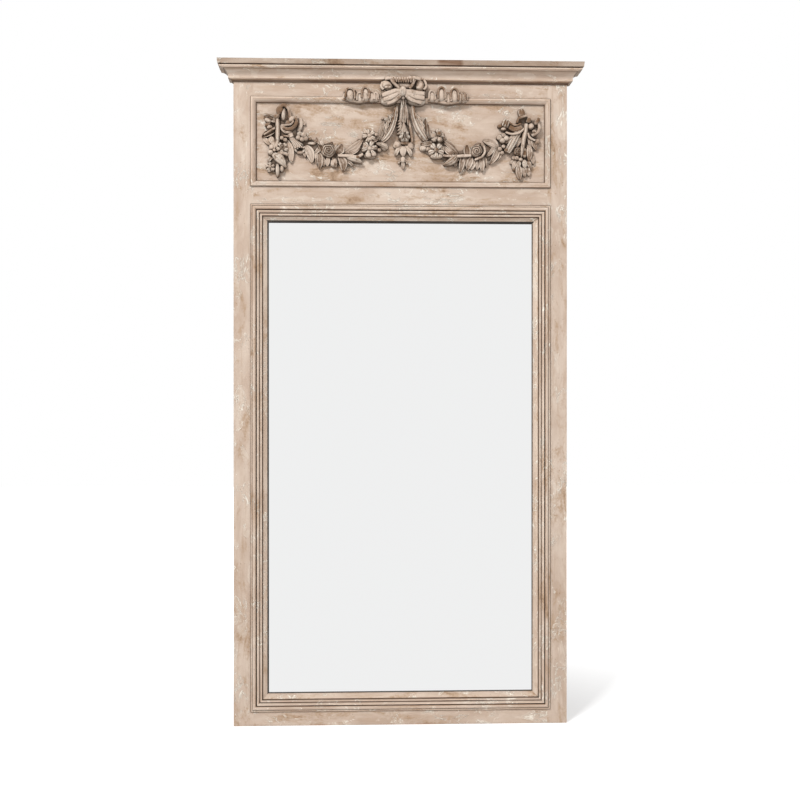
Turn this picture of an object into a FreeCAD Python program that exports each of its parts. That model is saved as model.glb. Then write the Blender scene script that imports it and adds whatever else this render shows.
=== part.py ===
"""A trumeau mirror: a tall painted wall mirror with a carved frieze under a cornice.

Millimetres. X runs to the right, Y to the back, Z up. The origin is the centre of the
flat bottom edge of the frame. The front of the frame boards faces -Y.
"""

import FreeCAD, Part

import math
import os

import Sketcher

VECTOR = FreeCAD.Vector

document = FreeCAD.newDocument("TrumeauMirror")
sheet = document.addObject("Spreadsheet::Sheet", "Sizes")

SIZES = [
    # the carcass of boards
    ("overall_height", 1780),
    ("frame_width", 898),
    ("frame_thickness", 45),
    ("stile_width", 53),
    ("bottom_rail_height", 46),
    ("middle_rail_height", 63),
    ("frieze_opening_height", 225),
    ("top_rail_height", 87),
    ("tenon_length", 38),
    ("tenon_thickness", 15),
    ("tenon_shoulder", 8),
    ("joint_clearance", 0.2),
    ("peg_width", 7),
    ("peg_cover", 9),
    ("peg_from_shoulder", 16),
    # the frieze panel and the mouldings planted on the frame
    ("panel_recess", 6),
    ("panel_thickness", 12),
    ("panel_groove_depth", 8),
    ("panel_clearance", 0.4),
    ("moulding_lap", 8),
    ("frieze_moulding_width", 16),
    ("frieze_moulding_rise", 7),
    ("mirror_moulding_width", 31),
    ("mirror_moulding_rise", 8),
    ("bead_diameter", 10),
    ("slip_width", 17),
    ("slip_limb_width", 9),
    ("slip_top_drop", 5),
    ("slip_edge_drop", 12.5),
    # the glass and what holds it
    ("glass_setback", 17),
    ("glass_thickness", 4),
    ("glass_play", 0.3),
    ("glass_edge_gap", 2),
    ("setting_block_length", 60),
    ("setting_block_inset", 120),
    ("backing_thickness", 6),
    ("backing_edge_gap", 1),
    ("nail_length", 18),
    ("nail_width", 2.4),
    ("nail_head_width", 5),
    ("nail_head_thickness", 1.2),
    ("nails_per_side", 4),
    ("nails_per_end", 2),
    # the cornice
    ("cornice_board_thickness", 13),
    ("cornice_projection", 41),
    ("cornice_board_cant", 1.6),
    ("crown_height", 41),
    ("crown_fillet_projection", 36),
    ("crown_hollow_top", 33),
    ("crown_hollow_foot", 13.5),
    ("crown_hollow_radius", 24),
    ("crown_cove_height", 8),
    ("crown_cove_radius", 9),
    # the hangers on the back
    ("hanger_drop", 227),
    ("strap_length", 58),
    ("strap_width", 20),
    ("strap_thickness", 1.8),
    ("ring_wire", 4),
    ("ring_width", 34),
    ("ring_drop", 27),
    ("ring_toe", 10),
    ("ring_play", 0.3),
    ("strap_screw_diameter", 4),
    ("strap_screw_head", 8),
    ("strap_screw_length", 22),
    ("strap_screw_spacing", 14),
    ("fixing_play", 0.1),
    # the felt pads that meet the wall
    ("pad_diameter", 18),
    ("pad_thickness", 10),
    ("pad_inset", 60),
    # the carved frieze ornament
    ("bow_offset", 6),
    ("carving_relief", 24),
    ("bow_relief", 34),
    ("tail_relief", 27),
]

for row, (name, size) in enumerate(SIZES, 1):
    sheet.set(f"A{row}", name)
    sheet.set(f"B{row}", str(size))
    sheet.setAlias(f"B{row}", name)
document.recompute()

# Lines that several pieces share, as expressions of the sheet.
CARCASS_TOP = "(Sizes.overall_height - Sizes.cornice_board_thickness)"
FRONT = "(-Sizes.frame_thickness / 2)"
BACK = "(Sizes.frame_thickness / 2)"
INSIDE = "(Sizes.frame_width / 2 - Sizes.stile_width)"
MIRROR_FOOT = "Sizes.bottom_rail_height"
FRIEZE_TOP = f"({CARCASS_TOP} - Sizes.top_rail_height)"
FRIEZE_FOOT = f"({FRIEZE_TOP} - Sizes.frieze_opening_height)"
MIRROR_TOP = f"({FRIEZE_FOOT} - Sizes.middle_rail_height)"
MIRROR_HEIGHT = f"({MIRROR_TOP} - {MIRROR_FOOT})"
PANEL_FACE = f"({FRONT} + Sizes.panel_recess)"
GLASS_FACE = f"({FRONT} + Sizes.glass_setback)"
BACKING_FACE = f"({GLASS_FACE} + Sizes.glass_thickness + Sizes.glass_play)"
BACKING_BACK = f"({BACKING_FACE} + Sizes.backing_thickness)"
CROWN_FOOT = f"({CARCASS_TOP} - Sizes.crown_height)"
GLASS_REBATE = "(Sizes.mirror_moulding_width - Sizes.moulding_lap + Sizes.slip_limb_width)"
HANGER_HEIGHT = f"({CARCASS_TOP} - Sizes.hanger_drop)"
STILE_MIDDLE = "(Sizes.frame_width / 2 - Sizes.stile_width / 2)"
EYE_RADIUS = "(Sizes.ring_wire / 2 + Sizes.ring_play + Sizes.strap_thickness)"


def size_of(expression):
    """The value of an expression of the sheet, in millimetres."""
    return float(document.getObject("Ruler").evalExpression(str(expression)))


ruler = document.addObject("Part::Feature", "Ruler")


# Sketches and solids drawn in them ---------------------------------------------------


def body_for(label):
    body = document.addObject("PartDesign::Body", label)
    body.Label = label
    return body


def sketch_on(body, role, name, along="0"):
    """A sketch on one of the body's own origin planes, moved along the plane's normal."""
    sketch = body.newObject("Sketcher::SketchObject", name)
    plane = [item for item in body.Origin.OriginFeatures if item.Role == role][0]
    sketch.AttachmentSupport = [(plane, "")]
    sketch.MapMode = "FlatFace"
    sketch.setExpression("AttachmentOffset.Base.z", along)
    return sketch


def hold_point(sketch, item, end, across, up):
    """Fixes one point of the sketch by two sizes from its origin."""
    first = sketch.addConstraint(
        Sketcher.Constraint("DistanceX", -1, 1, item, end, size_of(across))
    )
    sketch.setExpression(f"Constraints[{first}]", across)
    second = sketch.addConstraint(
        Sketcher.Constraint("DistanceY", -1, 1, item, end, size_of(up))
    )
    sketch.setExpression(f"Constraints[{second}]", up)


def add_arc(sketch, start, stop, radius):
    """The shorter arc between two points, bulging right of the way from start to stop
    if the radius is positive. Returns the arc and which of its ends are start and stop."""
    chord = stop - start
    half = chord.Length / 2
    depth = math.sqrt(max(radius * radius - half * half, 0))
    right = VECTOR(chord.y, -chord.x, 0).normalize()
    centre = (start + stop) / 2 - right * math.copysign(depth, radius)
    first, last = (start, stop) if radius > 0 else (stop, start)
    turn_first = math.atan2(first.y - centre.y, first.x - centre.x)
    turn_last = math.atan2(last.y - centre.y, last.x - centre.x)
    if turn_last < turn_first:
        turn_last += 2 * math.pi
    circle = Part.Circle(centre, VECTOR(0, 0, 1), abs(radius))
    item = sketch.addGeometry(Part.ArcOfCircle(circle, turn_first, turn_last))
    return (item, 1, 2) if radius > 0 else (item, 2, 1)


def draw_outline(sketch, corners, arcs=None):
    """A closed outline. arcs gives a signed radius for the sides that are round."""
    arcs = arcs or {}
    points = [VECTOR(size_of(across), size_of(up), 0) for across, up in corners]
    ends = []
    for index, start in enumerate(points):
        stop = points[(index + 1) % len(points)]
        if index not in arcs:
            item = sketch.addGeometry(Part.LineSegment(start, stop))
            ends.append((item, 1, 2))
            continue
        radius = size_of(arcs[index])
        ends.append(add_arc(sketch, start, stop, radius))
        item = ends[-1][0]
        held = sketch.addConstraint(Sketcher.Constraint("Radius", item, abs(radius)))
        sketch.setExpression(f"Constraints[{held}]", f"abs({arcs[index]})")
    for index, (item, _, stop_end) in enumerate(ends):
        following, start_end, _ = ends[(index + 1) % len(ends)]
        sketch.addConstraint(
            Sketcher.Constraint("Coincident", item, stop_end, following, start_end)
        )
    for (item, start_end, _), (across, up) in zip(ends, corners):
        hold_point(sketch, item, start_end, across, up)


def draw_rectangle(sketch, left, right, foot, top):
    draw_outline(sketch, [(left, foot), (right, foot), (right, top), (left, top)])


def draw_square(sketch, across, up, width):
    half = f"({width}) / 2"
    draw_rectangle(
        sketch,
        f"({across}) - {half}",
        f"({across}) + {half}",
        f"({up}) - {half}",
        f"({up}) + {half}",
    )


def draw_circle(sketch, across, up, diameter):
    centre = VECTOR(size_of(across), size_of(up), 0)
    item = sketch.addGeometry(
        Part.Circle(centre, VECTOR(0, 0, 1), size_of(diameter) / 2)
    )
    hold_point(sketch, item, 3, across, up)
    held = sketch.addConstraint(
        Sketcher.Constraint("Diameter", item, size_of(diameter))
    )
    sketch.setExpression(f"Constraints[{held}]", diameter)


def grow(body, kind, name, sketch, length):
    """A Pad or Pocket that reaches half its length to each side of its sketch."""
    feature = body.newObject(f"PartDesign::{kind}", name)
    feature.Profile = sketch
    feature.Midplane = True
    feature.setExpression("Length", length)
    return feature


def centred(expression):
    """Place along the normal of a sketch on the XZ plane, which points to the front."""
    return f"-({expression})"


# The carcass ---------------------------------------------------------------------------

RAILS = {
    "bottom_rail": ("0", MIRROR_FOOT),
    "middle_rail": (MIRROR_TOP, FRIEZE_FOOT),
    "top_rail": (FRIEZE_TOP, CARCASS_TOP),
}
PANEL_MIDDLE = f"({PANEL_FACE} + Sizes.panel_thickness / 2)"
GROOVE_WIDTH = "Sizes.panel_thickness + Sizes.panel_clearance"
PEG_MIDDLE = "Sizes.peg_cover / 2"
PEG_LENGTH = "Sizes.frame_thickness - Sizes.peg_cover"


def peg_places(foot, top):
    """Heights of the two pegs through one tenon, a quarter in from its edges."""
    quarter = f"(({top}) - ({foot}) - 2 * Sizes.tenon_shoulder) / 4"
    return [
        f"(({foot}) + Sizes.tenon_shoulder + {quarter})",
        f"(({top}) - Sizes.tenon_shoulder - {quarter})",
    ]


def cut_peg_holes(body, side, foot, top):
    sketch = sketch_on(body, "XZ_Plane", "PegHoles", centred(PEG_MIDDLE))
    across = f"{side} * ({INSIDE} + Sizes.peg_from_shoulder)"
    for height in peg_places(foot, top):
        draw_square(sketch, across, height, "Sizes.peg_width + 2 * Sizes.fixing_play")
    grow(body, "Pocket", "PegHoleCut", sketch, PEG_LENGTH)


def plough_groove(body, left, right, foot, top):
    """The groove in a board's edge that takes the frieze panel."""
    sketch = sketch_on(body, "XZ_Plane", "Groove", centred(PANEL_MIDDLE))
    draw_rectangle(sketch, left, right, foot, top)
    grow(body, "Pocket", "GrooveCut", sketch, GROOVE_WIDTH)


def make_stile(label, side):
    body = body_for(label)
    face = sketch_on(body, "XZ_Plane", "Face")
    inner = f"{side} * {INSIDE}"
    outer = f"{side} * Sizes.frame_width / 2"
    draw_rectangle(face, inner, outer, "0", CARCASS_TOP)
    grow(body, "Pad", "Board", face, "Sizes.frame_thickness")
    mortises = sketch_on(body, "XZ_Plane", "Mortises")
    reach = f"{side} * ({INSIDE} + Sizes.tenon_length + Sizes.joint_clearance)"
    for foot, top in RAILS.values():
        draw_rectangle(
            mortises,
            f"{side} * ({INSIDE} - 1)",
            reach,
            f"({foot}) + Sizes.tenon_shoulder - Sizes.joint_clearance",
            f"({top}) - Sizes.tenon_shoulder + Sizes.joint_clearance",
        )
    grow(
        body,
        "Pocket",
        "MortiseCut",
        mortises,
        "Sizes.tenon_thickness + 2 * Sizes.joint_clearance",
    )
    for foot, top in RAILS.values():
        cut_peg_holes(body, side, foot, top)
    deep = "Sizes.panel_groove_depth"
    plough_groove(
        body,
        f"{side} * ({INSIDE} - 1)",
        f"{side} * ({INSIDE} + {deep})",
        f"{FRIEZE_FOOT} - {deep}",
        f"{FRIEZE_TOP} + {deep}",
    )
    return body


def make_rail(label):
    foot, top = RAILS[label]
    body = body_for(label)
    face = sketch_on(body, "XZ_Plane", "Face")
    draw_rectangle(face, f"-{INSIDE}", INSIDE, foot, top)
    grow(body, "Pad", "Board", face, "Sizes.frame_thickness")
    tenons = sketch_on(body, "XZ_Plane", "Tenons")
    reach = f"({INSIDE} + Sizes.tenon_length)"
    low = f"({foot}) + Sizes.tenon_shoulder"
    high = f"({top}) - Sizes.tenon_shoulder"
    draw_rectangle(tenons, f"-{reach}", reach, low, high)
    grow(body, "Pad", "TenonPad", tenons, "Sizes.tenon_thickness")
    for side in (-1, 1):
        cut_peg_holes(body, side, foot, top)
    if label == "middle_rail":
        deep = f"({FRIEZE_FOOT} - Sizes.panel_groove_depth)"
        plough_groove(body, f"-{INSIDE}", INSIDE, deep, f"{FRIEZE_FOOT} + 1")
    if label == "top_rail":
        deep = f"({FRIEZE_TOP} + Sizes.panel_groove_depth)"
        plough_groove(body, f"-{INSIDE}", INSIDE, f"{FRIEZE_TOP} - 1", deep)
    return body


def make_block(label, left, front, foot, wide, deep, tall):
    block = document.addObject("Part::Box", label)
    block.Label = label
    block.setExpression("Length", wide)
    block.setExpression("Width", deep)
    block.setExpression("Height", tall)
    block.setExpression("Placement.Base.x", left)
    block.setExpression("Placement.Base.y", front)
    block.setExpression("Placement.Base.z", foot)
    return block


def make_joint_pegs():
    """Two square riven pegs through each of the six joints, blind from the front."""
    wide = "Sizes.peg_width"
    pegs = []
    for foot, top in RAILS.values():
        for side in (-1, 1):
            left = f"{side} * ({INSIDE} + Sizes.peg_from_shoulder) - {wide} / 2"
            for height in peg_places(foot, top):
                low = f"{height} - {wide} / 2"
                front = f"{FRONT} + Sizes.peg_cover"
                pegs.append(make_block("Peg", left, front, low, wide, PEG_LENGTH, wide))
    return group("joint_pegs", pegs)


def group(label, members):
    """Like small pieces that share one node, each still a solid of its own."""
    compound = document.addObject("Part::Compound", label)
    compound.Label = label
    compound.Links = members
    return compound


def make_frieze_panel():
    body = body_for("frieze_panel")
    face = sketch_on(body, "XZ_Plane", "Face", centred(PANEL_MIDDLE))
    bite = "(Sizes.panel_groove_depth - Sizes.panel_clearance)"
    half = f"({INSIDE} + {bite})"
    draw_rectangle(
        face, f"-{half}", half, f"{FRIEZE_FOOT} - {bite}", f"{FRIEZE_TOP} + {bite}"
    )
    grow(body, "Pad", "Board", face, "Sizes.panel_thickness")
    return body


# Mouldings -----------------------------------------------------------------------------


def mitred_length(label, corners, arcs, length, width):
    """One mitred length of a frame moulding, its outer edge on the X axis.

    corners are pairs of (rise above the frame's face, distance in from the outer edge).
    """
    body = body_for(label)
    profile = sketch_on(body, "YZ_Plane", "Profile")
    draw_outline(profile, [(f"-({rise})", inward) for rise, inward in corners], arcs)
    grow(body, "Pad", "Run", profile, length)
    mitres = sketch_on(body, "XZ_Plane", "Mitres")
    for side in (-1, 1):
        start = f"{side} * (({length}) / 2 + ({width}))"
        stop = f"{side} * (({length}) / 2 - 2 * ({width}))"
        draw_outline(
            mitres,
            [
                (start, f"-({width})"),
                (stop, f"2 * ({width})"),
                (start, f"2 * ({width})"),
            ],
        )
    grow(body, "Pocket", "MitreCut", mitres, "4 * Sizes.frame_thickness")
    return body


def frame_of_mouldings(name, corners, arcs, width, outer, foot, top):
    """Four mitred lengths round an opening. outer is half the outside width."""
    height = f"(({top}) - ({foot}))"
    runs = {
        "bottom": (f"2 * ({outer})", 0, "0", foot),
        "top": (f"2 * ({outer})", 180, "0", top),
        "left": (height, 90, f"-({outer})", f"({foot}) + {height} / 2"),
        "right": (height, -90, outer, f"({foot}) + {height} / 2"),
    }
    bodies = []
    for end, (length, turn, across, up) in runs.items():
        body = mitred_length(f"{name}_{end}", corners, arcs, length, width)
        body.Placement.Rotation = FreeCAD.Rotation(VECTOR(0, 1, 0), turn)
        body.setExpression("Placement.Base.x", across)
        body.setExpression("Placement.Base.y", FRONT)
        body.setExpression("Placement.Base.z", up)
        bodies.append(body)
    return bodies


def make_frieze_mouldings():
    """A rebated moulding that stands above the frame and runs down onto the panel."""
    lap = "Sizes.moulding_lap"
    rise = "Sizes.frieze_moulding_rise"
    wide = "Sizes.frieze_moulding_width"
    corners = [
        ("0", "0"),
        (f"{rise} * 0.4", "0"),
        (rise, f"{wide} * 0.3"),
        (rise, f"{wide} * 0.45"),
        ("-1", f"{wide} - 1.2"),
        ("-2.5", wide),
        ("-Sizes.panel_recess", wide),
        ("-Sizes.panel_recess", f"{lap} + Sizes.joint_clearance"),
        ("0", f"{lap} + Sizes.joint_clearance"),
    ]
    arcs = {1: f"-{rise} * 0.8", 3: f"-{rise} * 1.9"}
    return frame_of_mouldings(
        "frieze_moulding",
        corners,
        arcs,
        wide,
        f"({INSIDE} + {lap})",
        f"({FRIEZE_FOOT} - {lap})",
        f"({FRIEZE_TOP} + {lap})",
    )


def make_mirror_mouldings():
    """A fillet, a large bead, an ovolo and a small fillet, over a tongue in the opening."""
    lap = "Sizes.moulding_lap"
    rise = "Sizes.mirror_moulding_rise"
    wide = "Sizes.mirror_moulding_width"
    bead = "Sizes.bead_diameter"
    tongue = "(Sizes.glass_setback + Sizes.glass_thickness + Sizes.glass_play)"
    corners = [
        ("0", "0"),
        ("3", "0"),
        ("3", "3.6"),
        ("1.6", "4.6"),
        (f"{rise} - {bead} / 2", "5.2"),
        (f"{rise} - {bead} / 2", f"5.2 + {bead}"),
        ("1.2", f"5.6 + {bead}"),
        ("1.2", f"6.6 + {bead}"),
        (f"{rise} - 2.6", f"7.4 + {bead}"),
        (f"{rise} - 6", f"{wide} - 6.6"),
        ("0", f"{wide} - 6.4"),
        ("0", f"{wide} - 5.2"),
        ("1", f"{wide} - 5.2"),
        ("1", wide),
        (f"-{tongue}", wide),
        (f"-{tongue}", f"{lap} + Sizes.joint_clearance"),
        ("0", f"{lap} + Sizes.joint_clearance"),
    ]
    arcs = {4: f"-({bead} / 2 + 0.01)", 8: f"-{bead} * 0.9"}
    return frame_of_mouldings(
        "mirror_moulding",
        corners,
        arcs,
        wide,
        f"({INSIDE} + {lap})",
        f"({MIRROR_FOOT} - {lap})",
        f"({MIRROR_TOP} + {lap})",
    )


def make_sight_slips():
    """A bevelled slip inside the moulding. Its back is rebated for the glass."""
    wide = "Sizes.slip_width"
    limb = "Sizes.slip_limb_width"
    seat = "(Sizes.glass_setback + Sizes.glass_thickness + Sizes.glass_play)"
    corners = [
        ("-Sizes.slip_top_drop", "0"),
        ("-Sizes.slip_top_drop", "1.5"),
        ("-Sizes.slip_top_drop - 1", "2.5"),
        ("-Sizes.slip_edge_drop", f"{wide} - 2"),
        ("-Sizes.slip_edge_drop", wide),
        ("-Sizes.glass_setback", wide),
        ("-Sizes.glass_setback", limb),
        (f"-{seat}", limb),
        (f"-{seat}", "0"),
    ]
    arcs = {2: "Sizes.slip_width * 3"}
    inset = "(Sizes.mirror_moulding_width - Sizes.moulding_lap)"
    return frame_of_mouldings(
        "sight_slip",
        corners,
        arcs,
        wide,
        f"({INSIDE} - {inset})",
        f"({MIRROR_FOOT} + {inset})",
        f"({MIRROR_TOP} - {inset})",
    )


# The glass and its backing -----------------------------------------------------------


GLASS_HALF = f"({INSIDE} - {GLASS_REBATE} - Sizes.glass_edge_gap)"
REBATE_FOOT = f"({MIRROR_FOOT} + {GLASS_REBATE})"


def make_glass():
    return make_block(
        "mirror_glass",
        f"-{GLASS_HALF}",
        GLASS_FACE,
        f"{REBATE_FOOT} + Sizes.glass_edge_gap",
        f"2 * {GLASS_HALF}",
        "Sizes.glass_thickness",
        f"{MIRROR_HEIGHT} - 2 * {GLASS_REBATE} - 2 * Sizes.glass_edge_gap",
    )


def make_setting_blocks():
    """Two small softwood blocks that carry the glass on the bottom slip."""
    blocks = []
    for side in (-1, 1):
        middle = f"{side} * ({GLASS_HALF} - Sizes.setting_block_inset)"
        blocks.append(
            make_block(
                "SettingBlock",
                f"{middle} - Sizes.setting_block_length / 2",
                GLASS_FACE,
                REBATE_FOOT,
                "Sizes.setting_block_length",
                "Sizes.glass_thickness",
                "Sizes.glass_edge_gap",
            )
        )
    return group("setting_blocks", blocks)


def nail_places():
    """The nails run round the backing board, into the tongue of the moulding."""
    inset = "((Sizes.mirror_moulding_width - Sizes.moulding_lap) / 2)"
    half = f"({INSIDE} - {inset})"
    foot = f"({MIRROR_FOOT} + {inset})"
    top = f"({MIRROR_TOP} - {inset})"
    places = []
    per_side = int(size_of("Sizes.nails_per_side"))
    for step in range(per_side):
        height = f"{foot} + ({top} - {foot}) * {(step + 0.5) / per_side}"
        places += [(f"-{half}", height), (half, height)]
    per_end = int(size_of("Sizes.nails_per_end"))
    for step in range(per_end):
        across = f"{half} * {(2 * step + 1 - per_end) / per_end}"
        places += [(across, foot), (across, top)]
    return places


def make_backing_board():
    body = body_for("backing_board")
    middle = f"({BACKING_FACE} + Sizes.backing_thickness / 2)"
    face = sketch_on(body, "XZ_Plane", "Face", centred(middle))
    half = f"({INSIDE} - Sizes.backing_edge_gap)"
    foot = f"({MIRROR_FOOT} + Sizes.backing_edge_gap)"
    top = f"({MIRROR_TOP} - Sizes.backing_edge_gap)"
    draw_rectangle(face, f"-{half}", half, foot, top)
    grow(body, "Pad", "Board", face, "Sizes.backing_thickness")
    pierce_backing(body)
    return body


def pierce_backing(body):
    sketch = sketch_on(body, "XZ_Plane", "NailHoles", centred(BACKING_FACE))
    wide = "Sizes.nail_width + 2 * Sizes.fixing_play"
    for across, up in nail_places():
        draw_square(sketch, across, up, wide)
    grow(body, "Pocket", "NailHoleCut", sketch, "3 * Sizes.backing_thickness")


def shaped(label, shape):
    """A sub-part whose shape is worked out here from the sizes in the sheet."""
    feature = document.addObject("Part::Feature", label)
    feature.Label = label
    feature.Shape = shape
    feature.Placement = FreeCAD.Placement()
    return feature


def square_section(width, height):
    """A square outline about the Z axis at a height."""
    half = width / 2
    corners = [(-half, -half), (half, -half), (half, half), (-half, half)]
    points = [VECTOR(across, up, height) for across, up in corners]
    return Part.makePolygon(points + points[:1])


def make_backing_nails():
    """Cut nails: square, with a blunt taper and a flat head, driven towards the front."""
    length = size_of("Sizes.nail_length")
    width = size_of("Sizes.nail_width")
    head = size_of("Sizes.nail_head_width")
    crest = size_of("Sizes.nail_head_thickness")
    shank = Part.makeLoft(
        [square_section(width, 0), square_section(width / 2, length)], True, True
    )
    top = Part.makeBox(head, head, crest, VECTOR(-head / 2, -head / 2, -crest))
    nail = shank.fuse(top)
    solids = []
    for across, up in nail_places():
        turn = FreeCAD.Rotation(VECTOR(1, 0, 0), 90)
        place = VECTOR(size_of(across), size_of(BACKING_BACK), size_of(up))
        solids.append(nail.transformed(FreeCAD.Placement(place, turn).Matrix, copy=True))
    return shaped("backing_nails", Part.makeCompound(solids))


def pierce_for_nails(body, turn):
    """Nail holes in one moulding, drawn in the moulding's own upright position."""
    inset = "((Sizes.mirror_moulding_width + Sizes.moulding_lap) / 2)"
    depth = "(Sizes.nail_length - Sizes.backing_thickness)"
    seat = "(Sizes.glass_setback + Sizes.glass_thickness + Sizes.glass_play)"
    sketch = sketch_on(body, "XZ_Plane", "NailHoles", centred(seat))
    half = f"({INSIDE} - (Sizes.mirror_moulding_width - Sizes.moulding_lap) / 2)"
    tall = f"({MIRROR_HEIGHT} - (Sizes.mirror_moulding_width - Sizes.moulding_lap))"
    wide = "Sizes.nail_width + 2 * Sizes.fixing_play"
    if turn == "side":
        count = int(size_of("Sizes.nails_per_side"))
        places = [f"{tall} * {(step + 0.5) / count - 0.5}" for step in range(count)]
    else:
        count = int(size_of("Sizes.nails_per_end"))
        places = [f"{half} * {(2 * step + 1 - count) / count}" for step in range(count)]
    for across in places:
        draw_square(sketch, across, inset, wide)
    grow(body, "Pocket", "NailHoleCut", sketch, f"2 * {depth}")


# The cornice ---------------------------------------------------------------------------


def make_cornice_board():
    """The flat top board. Its front and ends lean in a little towards the bottom."""
    body = body_for("cornice_board")
    loft = body.newObject("PartDesign::AdditiveLoft", "Board")
    outlines = []
    for name, height, lean in (
        ("Under", CARCASS_TOP, "Sizes.cornice_board_cant"),
        ("Over", "Sizes.overall_height", "0"),
    ):
        sketch = sketch_on(body, "XY_Plane", name, height)
        reach = f"(Sizes.cornice_projection - {lean})"
        half = f"(Sizes.frame_width / 2 + {reach})"
        draw_rectangle(sketch, f"-{half}", half, f"{FRONT} - {reach}", BACK)
        outlines.append(sketch)
    loft.Profile = outlines[0]
    loft.Sections = [outlines[1]]
    loft.Ruled = True
    return body


def crown_corners():
    """The crown's section as (projection, height above its foot)."""
    tall = "Sizes.crown_height"
    foot = "Sizes.crown_hollow_foot"
    fillet = "Sizes.crown_fillet_projection"
    corners = [
        ("0", "0"),
        ("2.5", "0"),
        (f"{foot} - 1.5", "Sizes.crown_cove_height"),
        (foot, "Sizes.crown_cove_height"),
        (foot, "Sizes.crown_cove_height + 2.5"),
        ("Sizes.crown_hollow_top", f"{tall} - 6.5"),
        (fillet, f"{tall} - 6.5"),
        (fillet, f"{tall} - 3.4"),
        (f"{fillet} - 1.6", f"{tall} - 3.4"),
        (f"{fillet} - 1.6", tall),
        ("0", tall),
    ]
    arcs = {1: "Sizes.crown_cove_radius", 4: "Sizes.crown_hollow_radius"}
    return corners, arcs


def mitre_crown(body, sides, part):
    """Cuts the outside mitres where the front run meets a return."""
    sketch = sketch_on(body, "XY_Plane", "Mitres", CARCASS_TOP)
    margin = "Sizes.frame_thickness / 4"
    reach = f"(Sizes.cornice_projection + {margin})"
    for side in sides:
        near = f"{side} * (Sizes.frame_width / 2 - {margin})"
        far = f"{side} * (Sizes.frame_width / 2 + {reach})"
        back = f"{FRONT} + {margin}"
        front = f"{FRONT} - {reach}"
        third = (far, back) if part == "front" else (near, front)
        draw_outline(sketch, [(near, back), (far, front), third])
    grow(body, "Pocket", "MitreCut", sketch, "4 * Sizes.crown_height")


def make_crown_front():
    body = body_for("cornice_front")
    corners, arcs = crown_corners()
    profile = sketch_on(body, "YZ_Plane", "Profile")
    places = [(f"{FRONT} - ({out})", f"{CROWN_FOOT} + {up}") for out, up in corners]
    draw_outline(profile, places, arcs)
    grow(
        body,
        "Pad",
        "Run",
        profile,
        "Sizes.frame_width + 2 * Sizes.cornice_projection",
    )
    mitre_crown(body, (-1, 1), "front")
    return body


def make_crown_return(label, side):
    body = body_for(label)
    corners, arcs = crown_corners()
    middle = "(-Sizes.cornice_projection / 2)"
    profile = sketch_on(body, "XZ_Plane", "Profile", centred(middle))
    places = [
        (f"{side} * (Sizes.frame_width / 2 + {out})", f"{CROWN_FOOT} + {up}")
        for out, up in corners
    ]
    flipped = {index: f"{-side} * ({radius})" for index, radius in arcs.items()}
    draw_outline(profile, places, flipped)
    grow(
        body,
        "Pad",
        "Run",
        profile,
        "Sizes.frame_thickness + Sizes.cornice_projection",
    )
    mitre_crown(body, (side,), "return")
    return body


# The carving -----------------------------------------------------------------------------
#
# Each carved piece is drawn flat, X to the right and Y up, and rises along Z. Places are
# measured from the middle of the frame and from the top of the frieze opening, on a plan
# that fills an opening of 792 by 225 and stretches with it.

PLAN_HALF_WIDTH = 396
PLAN_HEIGHT = 225


def on_plan(corner):
    """A corner of the plan at its place in the real opening."""
    across = corner[0] * size_of(INSIDE) / PLAN_HALF_WIDTH
    up = corner[1] * size_of("Sizes.frieze_opening_height") / PLAN_HEIGHT
    return VECTOR(across, up, 0)



def fold(corners, height, shrink=0.6):
    """A puffed form over a straight-sided outline, smaller at its crest."""
    foot = [on_plan(corner) for corner in corners]
    middle = VECTOR(0, 0, 0)
    for point in foot:
        middle += point / len(foot)
    rise = VECTOR(0, 0, height)
    crest = [middle + (point - middle) * shrink + rise for point in foot]
    outlines = [foot, crest]
    for index, point in enumerate(foot):
        following = (index + 1) % len(foot)
        outlines.append([point, foot[following], crest[following], crest[index]])
    faces = [Part.Face(Part.makePolygon(line + line[:1])) for line in outlines]
    solid = Part.Solid(Part.Shell(faces))
    if solid.Volume < 0:
        solid.reverse()
    return solid


def leaf(start, stop, width, height):
    """A leaf, petal or long bud in six chisel cuts, pointed at both ends."""
    start = VECTOR(*start)
    along = VECTOR(*stop) - start
    side = VECTOR(-along.y, along.x, 0).normalize() * (width / 2)
    corners = [
        start,
        start + along * 0.3 - side,
        start + along * 0.7 - side * 0.9,
        start + along,
        start + along * 0.7 + side * 0.9,
        start + along * 0.3 + side,
    ]
    return fold(corners, height, 0.42)


def button(centre, radius, height):
    """A berry, a knot or the heart of a flower."""
    corners = []
    for count in range(8):
        turn = math.radians(45 * count + 22.5)
        corners.append(
            (centre[0] + radius * math.cos(turn), centre[1] + radius * math.sin(turn))
        )
    return fold(corners, height, 0.55)


def flower(centre, radius, petals, height):
    """Petals round a raised heart."""
    pieces = [button(centre, radius * 0.42, height)]
    for count in range(petals):
        turn = 2 * math.pi * count / petals + 0.3
        tip = (
            centre[0] + radius * math.cos(turn),
            centre[1] + radius * math.sin(turn),
        )
        pieces.append(leaf(centre, tip, radius * 0.95, height * 0.74))
    return pieces


def rose(centre, radius, height):
    """An open rose: five petals round a stepped heart."""
    pieces = flower(centre, radius, 5, height)
    pieces.append(button(centre, radius * 0.72, height * 0.84))
    return pieces


def stem(places, width, height):
    """The straight lengths of a stem that carries leaves and flowers."""
    lengths = []
    for start, stop in zip(places, places[1:]):
        start = VECTOR(*start)
        stop = VECTOR(*stop)
        along = (stop - start).normalize()
        side = VECTOR(-along.y, along.x, 0) * (width / 2)
        low = start - along * (width / 2)
        high = stop + along * (width / 2)
        corners = [low - side, high - side, high + side, low + side]
        lengths.append(fold(corners, height, 0.9))
    return lengths


def joined(pieces):
    """One solid of pieces that overlap."""
    solid = pieces[0].multiFuse(pieces[1:])
    if len(solid.Solids) != 1:
        raise RuntimeError("the elements of a carved piece don't all meet")
    return solid.Solids[0]


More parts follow.
